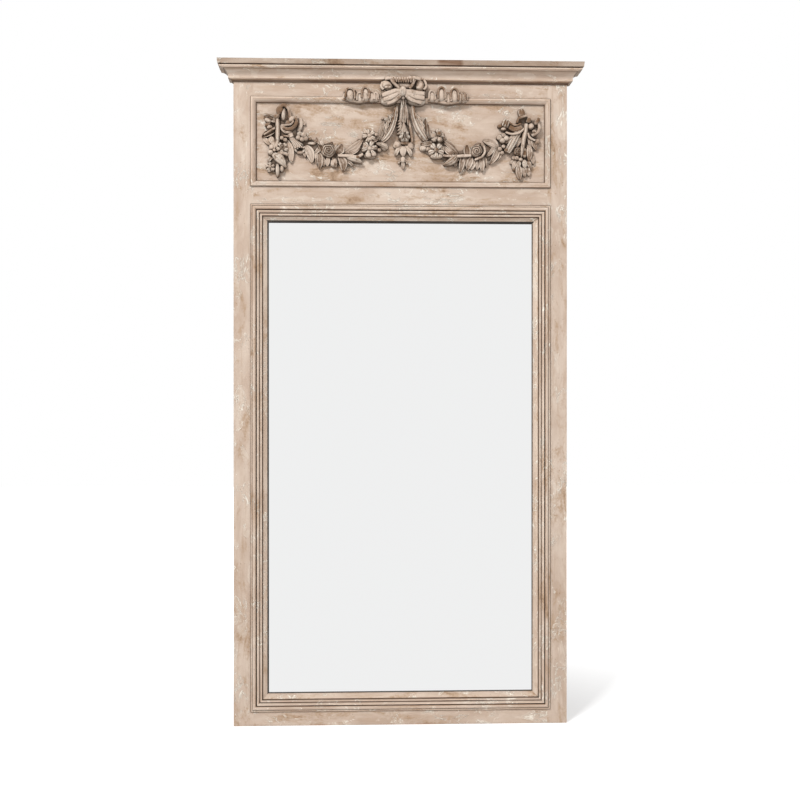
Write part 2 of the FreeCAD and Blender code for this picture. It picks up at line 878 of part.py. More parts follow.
def stand_up(solid, across, base):
    """Turns a flat-drawn solid to face the front, its foot on the plane y = base."""
    turn = FreeCAD.Rotation(VECTOR(1, 0, 0), 90)
    place = VECTOR(across, base, size_of(FRIEZE_TOP))
    return solid.transformed(FreeCAD.Placement(place, turn).Matrix, copy=True)


def pared(solid, neighbours):
    """A carved piece cut back to its neighbours, less the chips that come loose."""
    for other in neighbours:
        solid = solid.cut(other)
    return max(solid.Solids, key=lambda item: item.Volume)


def seat_cutter(low, high, depth):
    """What stands behind a carved piece between two heights, out to a given depth."""
    wide = size_of("Sizes.frame_width")
    back = size_of(PANEL_FACE) + 1
    front = size_of(FRONT) - depth
    box = Part.makeBox(wide, back - front, high - low)
    box.translate(VECTOR(-wide / 2, front, low))
    return box


def carcass_behind():
    """The frame's face, the top frieze moulding and the cornice, as the bow meets them."""
    clear = size_of("Sizes.joint_clearance")
    edge = size_of(FRIEZE_TOP)
    lap = size_of("Sizes.moulding_lap")
    inner = edge + lap - size_of("Sizes.frieze_moulding_width") - clear
    outer = edge + lap + clear
    crown = size_of(CROWN_FOOT) - clear
    rise = size_of("Sizes.frieze_moulding_rise") + clear
    hollow = size_of("Sizes.crown_hollow_foot") + clear
    return [
        seat_cutter(inner, size_of(CARCASS_TOP), 0),
        seat_cutter(inner, outer, rise),
        seat_cutter(crown, size_of(CARCASS_TOP), hollow),
    ]


def make_bow():
    tall = size_of("Sizes.bow_relief")
    left_loop = [(-60, 42), (-50, 57), (-20, 54), (1, 30), (0, 16), (-46, 20), (-59, 28)]
    right_loop = [(62, 42), (52, 57), (20, 54), (-1, 30), (0, 16), (48, 18), (61, 26)]
    left_lobe = [(-61, 6), (-50, 23), (-20, 21), (2, 24), (0, 2), (-32, -17), (-55, -12)]
    right_lobe = [(-2, 24), (22, 21), (50, 20), (63, 5), (57, -12), (34, -18), (0, 2)]
    top_fold = [(-48, 47), (-38, 59), (0, 56), (40, 59), (54, 47), (30, 36), (-28, 36)]
    pieces = [
        fold(top_fold, tall * 0.82, 0.8),
        fold(left_loop, tall * 0.74),
        fold(right_loop, tall * 0.74),
        fold(left_lobe, tall * 0.8),
        fold(right_lobe, tall * 0.8),
        fold([(-8, 22), (8, 22), (8, -8), (-8, -8)], tall * 0.7, 0.7),
        button((0, 19), 12, tall),
    ]
    hollows = [
        leaf((-52, 50), (-14, 32), 13, tall),
        leaf((16, 28), (54, 52), 14, tall),
    ]
    solid = joined(pieces)
    for hollow in hollows:
        hollow.translate(VECTOR(0, 0, tall * 0.5))
        solid = solid.cut(hollow)
    across = size_of("Sizes.bow_offset")
    solid = stand_up(solid, across, size_of(PANEL_FACE))
    return pared(solid, carcass_behind())


def make_tail(side):
    """A crumpled ribbon end that runs out from the bow over the top moulding."""
    tall = size_of("Sizes.tail_relief")
    if side < 0:
        pieces = [
            fold([(-60, -6), (-60, 14), (-150, 16), (-157, -2)], tall * 0.64, 0.9),
            leaf((-134, 0), (-165, 6), 17, tall * 0.62),
            leaf((-137, -8), (-137, 32), 24, tall * 0.9),
            leaf((-120, -8), (-120, 26), 10, tall * 0.8),
            button((-107, -3), 12, tall * 0.85),
            leaf((-95, -8), (-95, 36), 20, tall),
            button((-79, 4), 10.5, tall * 0.82),
            button((-68, 6), 9, tall * 0.75),
        ]
    else:
        pieces = [
            fold([(74, -6), (74, 15), (178, 14), (183, -3)], tall * 0.64, 0.9),
            button((83, 7), 13, tall * 0.85),
            leaf((107, -6), (107, 39), 18, tall),
            button((123, -1), 12, tall * 0.85),
            leaf((141, -10), (141, 40), 24, tall * 0.95),
            leaf((160, -10), (160, 28), 13, tall * 0.75),
            leaf((174, -10), (174, 26), 13, tall * 0.75),
        ]
    solid = stand_up(joined(pieces), 0, size_of(PANEL_FACE))
    return pared(solid, carcass_behind())


def make_pendant():
    """Leaves, a fruit and a bud that hang under the knot of the bow."""
    tall = size_of("Sizes.carving_relief")
    stem = [(-6, -9), (6, -9), (10, -34), (17, -54), (0, -60), (-16, -54), (-9, -34)]
    pieces = [
        fold(stem, tall * 0.7),
        fold([(-13, -50), (13, -50), (15, -70), (10, -88), (-8, -88), (-13, -70)], tall * 0.8),
        leaf((-3, -42), (-16, -64), 9, tall * 0.72),
        leaf((3, -42), (16, -66), 9, tall * 0.72),
        button((1, -103), 17, tall),
        button((-19, -117), 10.5, tall * 0.6),
        button((19, -122), 10.5, tall * 0.6),
        leaf((0, -112), (0, -154), 22, tall * 0.8),
        leaf((0, -124), (-24, -148), 13, tall * 0.6),
        leaf((0, -124), (24, -150), 13, tall * 0.6),
        leaf((-1, -140), (-2, -184), 15, tall * 0.6),
        leaf((-2, -150), (-14, -170), 8, tall * 0.5),
        leaf((-2, -150), (10, -170), 8, tall * 0.5),
    ]
    across = size_of("Sizes.bow_offset")
    return stand_up(joined(pieces), across, size_of(PANEL_FACE))


def make_left_swag():
    tall = size_of("Sizes.carving_relief")
    pieces = [
        leaf((-54, -120), (-10, -22), 19, tall * 0.8),
        leaf((-56, -118), (-33, -48), 15, tall * 0.7),
        leaf((-58, -118), (-50, -50), 14, tall * 0.66),
        button((-59, -131), 9.5, tall * 0.7),
        button((-43, -126), 11, tall * 0.7),
        leaf((-98, -112), (-158, -152), 24, tall * 0.6),
        leaf((-104, -155), (-184, -150), 12, tall * 0.8),
        leaf((-106, -174), (-142, -158), 20, tall * 0.75),
        leaf((-176, -156), (-152, -116), 24, tall * 0.7),
        leaf((-204, -160), (-222, -118), 16, tall * 0.7),
        leaf((-206, -148), (-226, -190), 20, tall * 0.66),
        leaf((-186, -140), (-175, -190), 19, tall * 0.7),
        leaf((-164, -148), (-150, -194), 20, tall * 0.7),
        leaf((-204, -122), (-248, -98), 24, tall * 0.6),
        leaf((-226, -118), (-250, -178), 28, tall * 0.66),
        leaf((-306, -60), (-266, -136), 28, tall * 0.6),
        button((-273, -129), 15, tall * 0.85),
        button((-266, -100), 14.5, tall * 0.85),
        button((-249, -99), 8, tall * 0.7),
    ]
    middle_line = [(-50, -124), (-83, -112), (-112, -136), (-194, -136), (-268, -122)]
    pieces += stem(middle_line, 8, tall * 0.45)
    pieces += flower((-83, -95), 21, 4, tall * 0.85)
    pieces += flower((-83, -136), 22, 5, tall)
    pieces += rose((-194, -136), 18, tall)
    return stand_up(joined(pieces), 0, size_of(PANEL_FACE))


def make_right_swag():
    tall = size_of("Sizes.carving_relief")
    pieces = [
        leaf((80, -120), (28, -22), 20, tall * 0.8),
        leaf((82, -118), (50, -50), 15, tall * 0.7),
        leaf((84, -116), (64, -50), 15, tall * 0.66),
        leaf((86, -114), (80, -68), 12, tall * 0.6),
        leaf((80, -118), (48, -138), 22, tall * 0.7),
        leaf((108, -112), (162, -162), 24, tall * 0.6),
        leaf((160, -150), (110, -174), 27, tall * 0.8),
        leaf((166, -148), (158, -194), 19, tall * 0.7),
        leaf((196, -140), (183, -190), 19, tall * 0.66),
        leaf((210, -148), (220, -192), 19, tall * 0.66),
        leaf((256, -132), (214, -98), 26, tall * 0.6),
        leaf((264, -128), (230, -180), 27, tall * 0.66),
        leaf((338, -62), (258, -152), 26, tall * 0.66),
        button((177, -131), 14, tall * 0.8),
        button((273, -100), 16, tall * 0.85),
    ]
    middle_line = [(82, -116), (98, -112), (114, -138), (204, -136), (262, -140)]
    pieces += stem(middle_line, 8, tall * 0.45)
    pieces += flower((99, -94), 21, 4, tall * 0.85)
    pieces += flower((94, -136), 22, 5, tall)
    pieces += rose((204, -136), 19, tall)
    return stand_up(joined(pieces), 0, size_of(PANEL_FACE))


def make_left_drop():
    """Ribbon loops over a hanging bunch of flowers, at the outer end of the swag."""
    tall = size_of("Sizes.carving_relief")
    pieces = [
        leaf((-322, -66), (-311, -14), 27, tall * 0.9),
        leaf((-330, -62), (-338, -38), 15, tall * 0.7),
        leaf((-332, -66), (-376, -46), 22, tall * 0.85),
        leaf((-336, -66), (-366, -74), 20, tall * 0.8),
        leaf((-334, -76), (-377, -98), 17, tall * 0.8),
        leaf((-322, -62), (-278, -80), 22, tall * 0.9),
        leaf((-284, -80), (-250, -66), 20, tall * 0.45),
        fold([(-336, -58), (-320, -58), (-316, -122), (-342, -122)], tall * 0.75),
        leaf((-340, -118), (-372, -96), 18, tall * 0.5),
        button((-350, -150), 8.5, tall * 0.95),
        button((-318, -150), 10, tall * 0.95),
        leaf((-318, -140), (-289, -180), 25, tall * 0.66),
        leaf((-340, -142), (-316, -180), 25, tall * 0.75),
        leaf((-350, -146), (-355, -196), 24, tall * 0.6),
        leaf((-334, -166), (-334, -208), 14, tall * 0.66),
        button((-321, -181), 9, tall * 0.6),
    ]
    pieces += flower((-349, -136), 17, 5, tall * 0.75)
    pieces += flower((-317, -130), 18, 5, tall * 0.75)
    return stand_up(joined(pieces), 0, size_of(PANEL_FACE))


def make_right_drop():
    tall = size_of("Sizes.carving_relief")
    pieces = [
        leaf((320, -66), (332, -12), 29, tall * 0.9),
        leaf((304, -68), (260, -54), 26, tall * 0.8),
        leaf((334, -58), (282, -78), 20, tall * 0.85),
        button((342, -52), 8, tall),
        leaf((346, -78), (367, -38), 17, tall * 0.8),
        leaf((343, -60), (359, -108), 23, tall * 0.8),
        leaf((344, -98), (371, -132), 17, tall * 0.6),
        fold([(330, -56), (346, -56), (342, -122), (316, -122)], tall * 0.7),
        leaf((322, -146), (286, -172), 19, tall * 0.55),
        leaf((340, -134), (362, -178), 20, tall * 0.55),
        leaf((320, -158), (322, -210), 19, tall * 0.7),
        leaf((326, -160), (348, -196), 18, tall * 0.6),
        leaf((318, -158), (298, -184), 15, tall * 0.55),
    ]
    pieces += flower((316, -136), 17, 5, tall * 0.9)
    pieces += flower((335, -142), 16, 5, tall * 0.9)
    return stand_up(joined(pieces), 0, size_of(PANEL_FACE))


def make_carving():
    pendant = make_pendant()
    left_drop = make_left_drop()
    right_drop = make_right_drop()
    bow = pared(make_bow(), [pendant])
    left_swag = pared(make_left_swag(), [left_drop, pendant, bow])
    right_swag = pared(make_right_swag(), [right_drop, pendant, bow])
    left_tail = pared(make_tail(-1), [bow])
    right_tail = pared(make_tail(1), [bow])
    return [
        shaped("bow", bow),
        shaped("ribbon_tail_left", left_tail),
        shaped("ribbon_tail_right", right_tail),
        shaped("centre_pendant", pendant),
        shaped("swag_left", left_swag),
        shaped("swag_right", right_swag),
        shaped("drop_left", left_drop),
        shaped("drop_right", right_drop),
    ]


# The hangers and wall pads -------------------------------------------------------------

STRAP_SCREW_FIRST = "(Sizes.ring_drop + Sizes.ring_wire / 2 + Sizes.strap_screw_head)"


def strap_screw_heights():
    """Distances of the two screws below the eye, clear of the ring when it hangs down."""
    first = STRAP_SCREW_FIRST
    return [first, f"({first} + Sizes.strap_screw_spacing)"]


def place_at_hanger(body, side):
    body.setExpression("Placement.Base.x", f"{side} * {STILE_MIDDLE}")
    body.setExpression("Placement.Base.y", BACK)
    body.setExpression("Placement.Base.z", HANGER_HEIGHT)


def make_strap(label, side):
    """A steel strap rolled into an eye at its upper end."""
    body = body_for(label)
    profile = sketch_on(body, "YZ_Plane", "Profile")
    thick = "Sizes.strap_thickness"
    meet = f"sqrt({EYE_RADIUS} * {EYE_RADIUS} - ({EYE_RADIUS} - {thick}) * ({EYE_RADIUS} - {thick}))"
    draw_outline(
        profile,
        [
            ("0", "-Sizes.strap_length"),
            (thick, "-Sizes.strap_length"),
            (thick, f"-{meet}"),
            (f"2 * {EYE_RADIUS}", "0"),
            (EYE_RADIUS, EYE_RADIUS),
            ("0", "0"),
        ],
        {2: EYE_RADIUS, 3: EYE_RADIUS, 4: EYE_RADIUS},
    )
    draw_circle(profile, EYE_RADIUS, "0", "Sizes.ring_wire + 2 * Sizes.ring_play")
    grow(body, "Pad", "Strap", profile, "Sizes.strap_width")
    holes = sketch_on(body, "XZ_Plane", "ScrewHoles")
    for down in strap_screw_heights():
        draw_circle(
            holes, "0", f"-{down}", "Sizes.strap_screw_diameter + 2 * Sizes.fixing_play"
        )
    grow(body, "Pocket", "ScrewHoleCut", holes, "4 * Sizes.strap_thickness")
    place_at_hanger(body, side)
    return body


def make_ring(label, side):
    """A wire loop with sharp bends. Its straight top bar turns in the strap's eye."""
    body = body_for(label)
    path = sketch_on(body, "XZ_Plane", "Path", centred(EYE_RADIUS))
    half = "Sizes.ring_width / 2"
    toe = "Sizes.ring_toe / 2"
    draw_outline(
        path,
        [
            (half, "0"),
            (toe, "-Sizes.ring_drop"),
            (f"-({toe})", "-Sizes.ring_drop"),
            (f"-({half})", "0"),
        ],
    )
    section = sketch_on(body, "YZ_Plane", "Section")
    draw_circle(section, EYE_RADIUS, "0", "Sizes.ring_wire")
    pipe = body.newObject("PartDesign::AdditivePipe", "Ring")
    pipe.Profile = section
    pipe.Spine = path
    pipe.Transition = "Right corner"
    place_at_hanger(body, side)
    return body


def strap_screw():
    """A pan-headed screw along Z, its head below and its shank above the seat."""
    length = size_of("Sizes.strap_screw_length")
    diameter = size_of("Sizes.strap_screw_diameter")
    head = size_of("Sizes.strap_screw_head")
    shank = ring_of_flats(diameter, 0).extrude(VECTOR(0, 0, length))
    seat = ring_of_flats(head, 0)
    crest = ring_of_flats(head * 0.72, -head * 0.3)
    return shank.fuse(Part.makeLoft([crest.OuterWire, seat.OuterWire], True, True))


def ring_of_flats(diameter, height):
    """A round face in twelve flats, about the Z axis at a height."""
    points = []
    for count in range(12):
        turn = math.radians(30 * count)
        across = diameter / 2 * math.cos(turn)
        points.append(VECTOR(across, diameter / 2 * math.sin(turn), height))
    return Part.Face(Part.makePolygon(points + points[:1]))


def make_hanger_screws():
    single = strap_screw()
    turn = FreeCAD.Rotation(VECTOR(1, 0, 0), 90)
    solids = []
    for side in (-1, 1):
        for down in strap_screw_heights():
            place = VECTOR(
                size_of(f"{side} * {STILE_MIDDLE}"),
                size_of(f"{BACK} + Sizes.strap_thickness"),
                size_of(f"{HANGER_HEIGHT} - {down}"),
            )
            matrix = FreeCAD.Placement(place, turn).Matrix
            solids.append(single.transformed(matrix, copy=True))
    return shaped("hanger_screws", Part.makeCompound(solids))


def drill_for_strap_screws(body, side):
    depth = "(Sizes.strap_screw_length - Sizes.strap_thickness)"
    sketch = sketch_on(body, "XZ_Plane", "PilotHoles", centred(BACK))
    for down in strap_screw_heights():
        draw_circle(
            sketch,
            f"{side} * {STILE_MIDDLE}",
            f"{HANGER_HEIGHT} - {down}",
            "Sizes.strap_screw_diameter + 2 * Sizes.fixing_play",
        )
    grow(body, "Pocket", "PilotHoleCut", sketch, f"2 * {depth}")


def make_wall_pads():
    """Felt pads on the four corners of the back."""
    pads = []
    for side in (-1, 1):
        for height in ("Sizes.pad_inset", f"{CARCASS_TOP} - Sizes.pad_inset"):
            pad = document.addObject("Part::Cylinder", "Pad")
            pad.setExpression("Radius", "Sizes.pad_diameter / 2")
            pad.setExpression("Height", "Sizes.pad_thickness")
            pad.Placement.Rotation = FreeCAD.Rotation(VECTOR(1, 0, 0), -90)
            pad.setExpression("Placement.Base.x", f"{side} * {STILE_MIDDLE}")
            pad.setExpression("Placement.Base.y", BACK)
            pad.setExpression("Placement.Base.z", height)
            pads.append(pad)
    return group("wall_pads", pads)


# Assembly ------------------------------------------------------------------------------

stiles = {-1: make_stile("left_stile", -1), 1: make_stile("right_stile", 1)}
sub_parts = list(stiles.values())
for side, stile in stiles.items():
    drill_for_strap_screws(stile, side)
sub_parts += [make_rail(label) for label in RAILS]
sub_parts += [make_joint_pegs(), make_frieze_panel()]
sub_parts += make_frieze_mouldings()
mirror_mouldings = make_mirror_mouldings()
for moulding in mirror_mouldings:
    upright = moulding.Label.endswith(("left", "right"))
    pierce_for_nails(moulding, "side" if upright else "end")
sub_parts += mirror_mouldings
sub_parts += make_sight_slips()
sub_parts += [make_glass(), make_setting_blocks(), make_backing_board()]
sub_parts += [make_backing_nails(), make_cornice_board(), make_crown_front()]
sub_parts += [
    make_crown_return("cornice_return_left", -1),
    make_crown_return("cornice_return_right", 1),
]
for side, word in ((-1, "left"), (1, "right")):
    sub_parts.append(make_strap(f"hanger_strap_{word}", side))
    sub_parts.append(make_ring(f"hanger_ring_{word}", side))
sub_parts += [make_hanger_screws(), make_wall_pads()]
sub_parts += make_carving()


# Checks and files ----------------------------------------------------------------------


def check_document():
    for item in document.Objects:
        if "Invalid" in item.State or "Error" in item.State:
            raise RuntimeError(f"{item.Label} could not be worked out: {item.State}")
    for part in sub_parts:
        shape = part.Shape
        if shape.isNull() or not shape.isValid():
            raise RuntimeError(f"{part.Label} has no sound shape")
        if not shape.Solids or shape.Volume <= 0:
            raise RuntimeError(f"{part.Label} has no solid")


def write_parts():
    os.makedirs("parts", exist_ok=True)
    for part in sub_parts:
        part.Shape.exportStep(f"parts/{part.Label}.step")
        box = part.Shape.BoundBox
        print(
            f"{part.Label:24s} {len(part.Shape.Solids):3d} solids"
            f" {part.Shape.Volume / 1000:9.1f} cm3"
            f"  x {box.XMin:.1f}..{box.XMax:.1f} y {box.YMin:.1f}..{box.YMax:.1f}"
            f" z {box.ZMin:.1f}..{box.ZMax:.1f}"
        )


document.recompute()
check_document()
write_parts()
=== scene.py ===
"""A trumeau mirror in old cream paint, with carved ribbon and flower swags on its frieze.

Metres. X runs to the right, Y to the wall behind, Z up. The boards, mouldings, glass and
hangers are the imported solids. The carving is modelled here, in the places of its solids.
"""

import math

import bpy
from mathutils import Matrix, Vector


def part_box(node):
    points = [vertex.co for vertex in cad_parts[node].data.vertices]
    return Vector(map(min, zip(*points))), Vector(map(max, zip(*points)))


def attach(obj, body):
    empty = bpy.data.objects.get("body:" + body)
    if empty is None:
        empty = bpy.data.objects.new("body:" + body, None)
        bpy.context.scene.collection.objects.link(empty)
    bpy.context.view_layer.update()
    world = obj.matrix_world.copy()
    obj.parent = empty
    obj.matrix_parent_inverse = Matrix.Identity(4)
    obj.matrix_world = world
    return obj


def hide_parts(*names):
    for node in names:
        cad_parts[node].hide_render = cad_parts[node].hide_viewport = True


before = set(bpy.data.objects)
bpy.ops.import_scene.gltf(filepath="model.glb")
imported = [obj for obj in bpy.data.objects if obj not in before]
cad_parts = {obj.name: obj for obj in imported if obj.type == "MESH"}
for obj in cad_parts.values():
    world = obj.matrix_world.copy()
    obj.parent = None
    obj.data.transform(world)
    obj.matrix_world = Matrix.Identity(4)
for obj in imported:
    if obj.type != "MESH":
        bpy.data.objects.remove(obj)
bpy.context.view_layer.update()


# Camera -----------------------------------------------------------------------------------
#
# Stood a little left of the middle, at half the mirror's height, 3.4 m in front of it.

CAMERA_PLACE = (-0.147, -3.466, 0.8866)
CAMERA_TURN = math.radians(-2.394)
CAMERA_TILT = math.radians(-0.2)
CAMERA_LENS = 57.6

camera = bpy.data.objects.new("Camera", bpy.data.cameras.new("Camera"))
camera.data.lens = CAMERA_LENS
camera.data.sensor_width = 36
camera.location = CAMERA_PLACE
camera.rotation_euler = (math.pi / 2 + CAMERA_TILT, 0, CAMERA_TURN)
bpy.context.scene.collection.objects.link(camera)
bpy.context.scene.camera = camera


# Light, background and floor --------------------------------------------------------------
#
# One large soft lamp high on the left throws the carving's shadows down to the right.
# A weaker one fills from the right. The background is plain white.

bpy.context.scene.view_settings.view_transform = "Standard"

LAMPS = {
    "KeyLamp": {"place": (-3.2, -6.2, 6.6), "size": 1.7, "watts": 540},
    "FillLamp": {"place": (2.9, -3.4, 1.7), "size": 2.6, "watts": 16},
}
for lamp_name, lamp in LAMPS.items():
    light = bpy.data.lights.new(lamp_name, "AREA")
    light.size = lamp["size"]
    light.energy = lamp["watts"]
    holder = bpy.data.objects.new(lamp_name, light)
    holder.location = lamp["place"]
    aim = Vector((0, 0, 1.0)) - holder.location
    holder.rotation_euler = aim.to_track_quat("-Z", "Y").to_euler()
    bpy.context.scene.collection.objects.link(holder)

ROOM_LIGHT = 0.4
WHITE = (1, 1, 1, 1)


def emptied(owner):
    """Clears a world's or a material's nodes, and gives its nodes and links."""
    owner.use_nodes = True
    owner.node_tree.nodes.clear()
    return owner.node_tree.nodes, owner.node_tree.links


def any_of(nodes, links, *flags):
    """1 where any of the flags is 1."""
    found = flags[0]
    for flag in flags[1:]:
        either = nodes.new("ShaderNodeMath")
        either.operation = "MAXIMUM"
        links.new(found, either.inputs[0])
        links.new(flag, either.inputs[1])
        found = either.outputs[0]
    return found


def chosen(nodes, links, flag, first, second):
    """The first shader where the flag is 0, the second where it is 1."""
    mix = nodes.new("ShaderNodeMixShader")
    for socket, value in zip(mix.inputs, (flag, first, second)):
        links.new(value, socket)
    return mix.outputs[0]


world = bpy.data.worlds.new("Room")
bpy.context.scene.world = world
nodes, links = emptied(world)
shades = []
for strength in (ROOM_LIGHT, 1):
    shade = nodes.new("ShaderNodeBackground")
    shade.inputs["Color"].default_value = WHITE
    shade.inputs["Strength"].default_value = strength
    shades.append(shade.outputs[0])
rays = nodes.new("ShaderNodeLightPath").outputs
in_glass = any_of(nodes, links, rays["Is Glossy Ray"], rays["Is Transmission Ray"])
seen = any_of(nodes, links, rays["Is Camera Ray"], in_glass)
backdrop = chosen(nodes, links, seen, *shades)
links.new(backdrop, nodes.new("ShaderNodeOutputWorld").inputs[0])

# the floor's glow is weaker round the foot, so that the mirror's shadow shows there
FLOOR_HALF = 9
FLOOR_GREY = (0.9, 0.9, 0.9, 1)
GLOW = {"From Min": 0.5, "From Max": 1.6, "To Min": 0.42, "To Max": 1.0}

corners = [(-1, -1), (1, -1), (1, 1), (-1, 1)]
floor_mesh = bpy.data.meshes.new("Floor")
floor_mesh.from_pydata(
    [(x * FLOOR_HALF, y * FLOOR_HALF, 0) for x, y in corners], [], [(0, 1, 2, 3)]
)
floor = bpy.data.objects.new("Floor", floor_mesh)
bpy.context.scene.collection.objects.link(floor)
floor_paint = bpy.data.materials.new("FloorWhite")
nodes, links = emptied(floor_paint)
matt = nodes.new("ShaderNodeBsdfDiffuse")
matt.inputs["Color"].default_value = FLOOR_GREY
from_foot = nodes.new("ShaderNodeVectorMath")
from_foot.operation = "LENGTH"
links.new(nodes.new("ShaderNodeTexCoord").outputs["Object"], from_foot.inputs[0])
reach = nodes.new("ShaderNodeMapRange")
for socket, value in GLOW.items():
    reach.inputs[socket].default_value = value
links.new(from_foot.outputs["Value"], reach.inputs["Value"])
glow = nodes.new("ShaderNodeEmission")
links.new(reach.outputs[0], glow.inputs["Strength"])
lit = nodes.new("ShaderNodeAddShader")
links.new(matt.outputs[0], lit.inputs[0])
links.new(glow.outputs[0], lit.inputs[1])
plain = nodes.new("ShaderNodeEmission")
rays = nodes.new("ShaderNodeLightPath").outputs
in_glass = any_of(nodes, links, rays["Is Glossy Ray"], rays["Is Transmission Ray"])
seen = chosen(nodes, links, rays["Is Camera Ray"], matt.outputs[0], lit.outputs[0])
shown = chosen(nodes, links, in_glass, seen, plain.outputs[0])
links.new(shown, nodes.new("ShaderNodeOutputMaterial").inputs[0])
floor_mesh.materials.append(floor_paint)


# The painted boards -----------------------------------------------------------------------
#
# Softwood boards under a beige limewash, rubbed back in streaks along the grain, with
# cream filler that has cracked and chipped. Recesses and gaps are darkened, partly as dark
# wax and partly as painted shade.

PAINT = {
    "beige": (0.520, 0.388, 0.298),
    "pale": (0.650, 0.525, 0.428),
    "tan": (0.440, 0.295, 0.190),
    "brown": (0.205, 0.112, 0.055),
    "chip": (0.920, 0.850, 0.740),
    "wax_and_shade": (0.036, 0.026, 0.019),
    "rubbed": (0.165, 0.082, 0.034),
    "underside_shade": (0.092, 0.062, 0.040),
}
PAINT_RELIEF = 0.0009
SHADE_AND_WAX_REACH = 0.006
CARVED_SHADE_AND_WAX_REACH = 0.013


class Graph:
    """Short ways to add shader nodes to one material."""

    def __init__(self, name):
        self.material = bpy.data.materials.new(name)
        self.material.use_nodes = True
        self.nodes = self.material.node_tree.nodes
        self.links = self.material.node_tree.links
        self.shader = self.nodes["Principled BSDF"]
        self.place = self.nodes.new("ShaderNodeTexCoord").outputs["Object"]

    def stretched(self, scale, shift=(0, 0, 0)):
        mapping = self.nodes.new("ShaderNodeMapping")
        mapping.inputs["Scale"].default_value = scale
        mapping.inputs["Location"].default_value = shift
        self.links.new(self.place, mapping.inputs["Vector"])
        return mapping.outputs[0]

    def noise(self, where, scale, detail=4, rough=0.55, twist=0):
        node = self.nodes.new("ShaderNodeTexNoise")
        node.inputs["Scale"].default_value = scale
        node.inputs["Detail"].default_value = detail
        node.inputs["Roughness"].default_value = rough
        node.inputs["Distortion"].default_value = twist
        self.links.new(where, node.inputs["Vector"])
        return node.outputs["Fac"]

    def between(self, value, low, high, top=1.0):
        """0 below low, top above high."""
        node = self.nodes.new("ShaderNodeMapRange")
        node.inputs["From Min"].default_value = low
        node.inputs["From Max"].default_value = high
        node.inputs["To Max"].default_value = top
        self.links.new(value, node.inputs["Value"])
        return node.outputs[0]

    def maths(self, operation, first, second):
        node = self.nodes.new("ShaderNodeMath")
        node.operation = operation
        for socket, value in zip(node.inputs, (first, second)):
            if isinstance(value, (int, float)):
                socket.default_value = value
            else:
                self.links.new(value, socket)
        return node.outputs[0]

    def mixed(self, share, first, second, blend="MIX"):
        node = self.nodes.new("ShaderNodeMix")
        node.data_type = "RGBA"
        node.blend_type = blend
        sockets = (node.inputs["Factor"], node.inputs[6], node.inputs[7])
        for socket, value in zip(sockets, (share, first, second)):
            if isinstance(value, tuple):
                socket.default_value = (*value, 1)
            elif isinstance(value, (int, float)):
                socket.default_value = value
            else:
                self.links.new(value, socket)
        return node.outputs[2]

    def bands(self, axis, origin, side, reach, stops):
        """Colours that change across a moulding, at stops in mm from its outer edge."""
        parts = self.nodes.new("ShaderNodeSeparateXYZ")
        self.links.new(self.place, parts.inputs[0])
        from_edge = self.maths("SUBTRACT", parts.outputs[axis.upper()], origin)
        share = self.maths("MULTIPLY", from_edge, side * 1000 / reach)
        ramp = self.nodes.new("ShaderNodeValToRGB")
        self.links.new(share, ramp.inputs[0])
        marks = ramp.color_ramp.elements
        while len(marks) < len(stops):
            marks.new(0.5)
        for mark, (place, colour) in zip(marks, stops):
            mark.position = place / reach
            mark.color = (*colour, 1)
        return ramp.outputs[0]

    def dots(self, where, scale, size, share):
        """Small round specks, in some cells of a random net."""
        cells = self.nodes.new("ShaderNodeTexVoronoi")
        cells.inputs["Scale"].default_value = scale
        self.links.new(where, cells.inputs["Vector"])
        near = self.between(cells.outputs["Distance"], size, size * 0.5)
        parts = self.nodes.new("ShaderNodeSeparateXYZ")
        self.links.new(cells.outputs["Color"], parts.inputs[0])
        chosen = self.maths("LESS_THAN", parts.outputs[0], share)
        return self.maths("MULTIPLY", near, chosen)

    def raised(self, height, depth):
        bump = self.nodes.new("ShaderNodeBump")
        bump.inputs["Distance"].default_value = depth
        self.links.new(height, bump.inputs["Height"])
        self.links.new(bump.outputs[0], self.shader.inputs["Normal"])


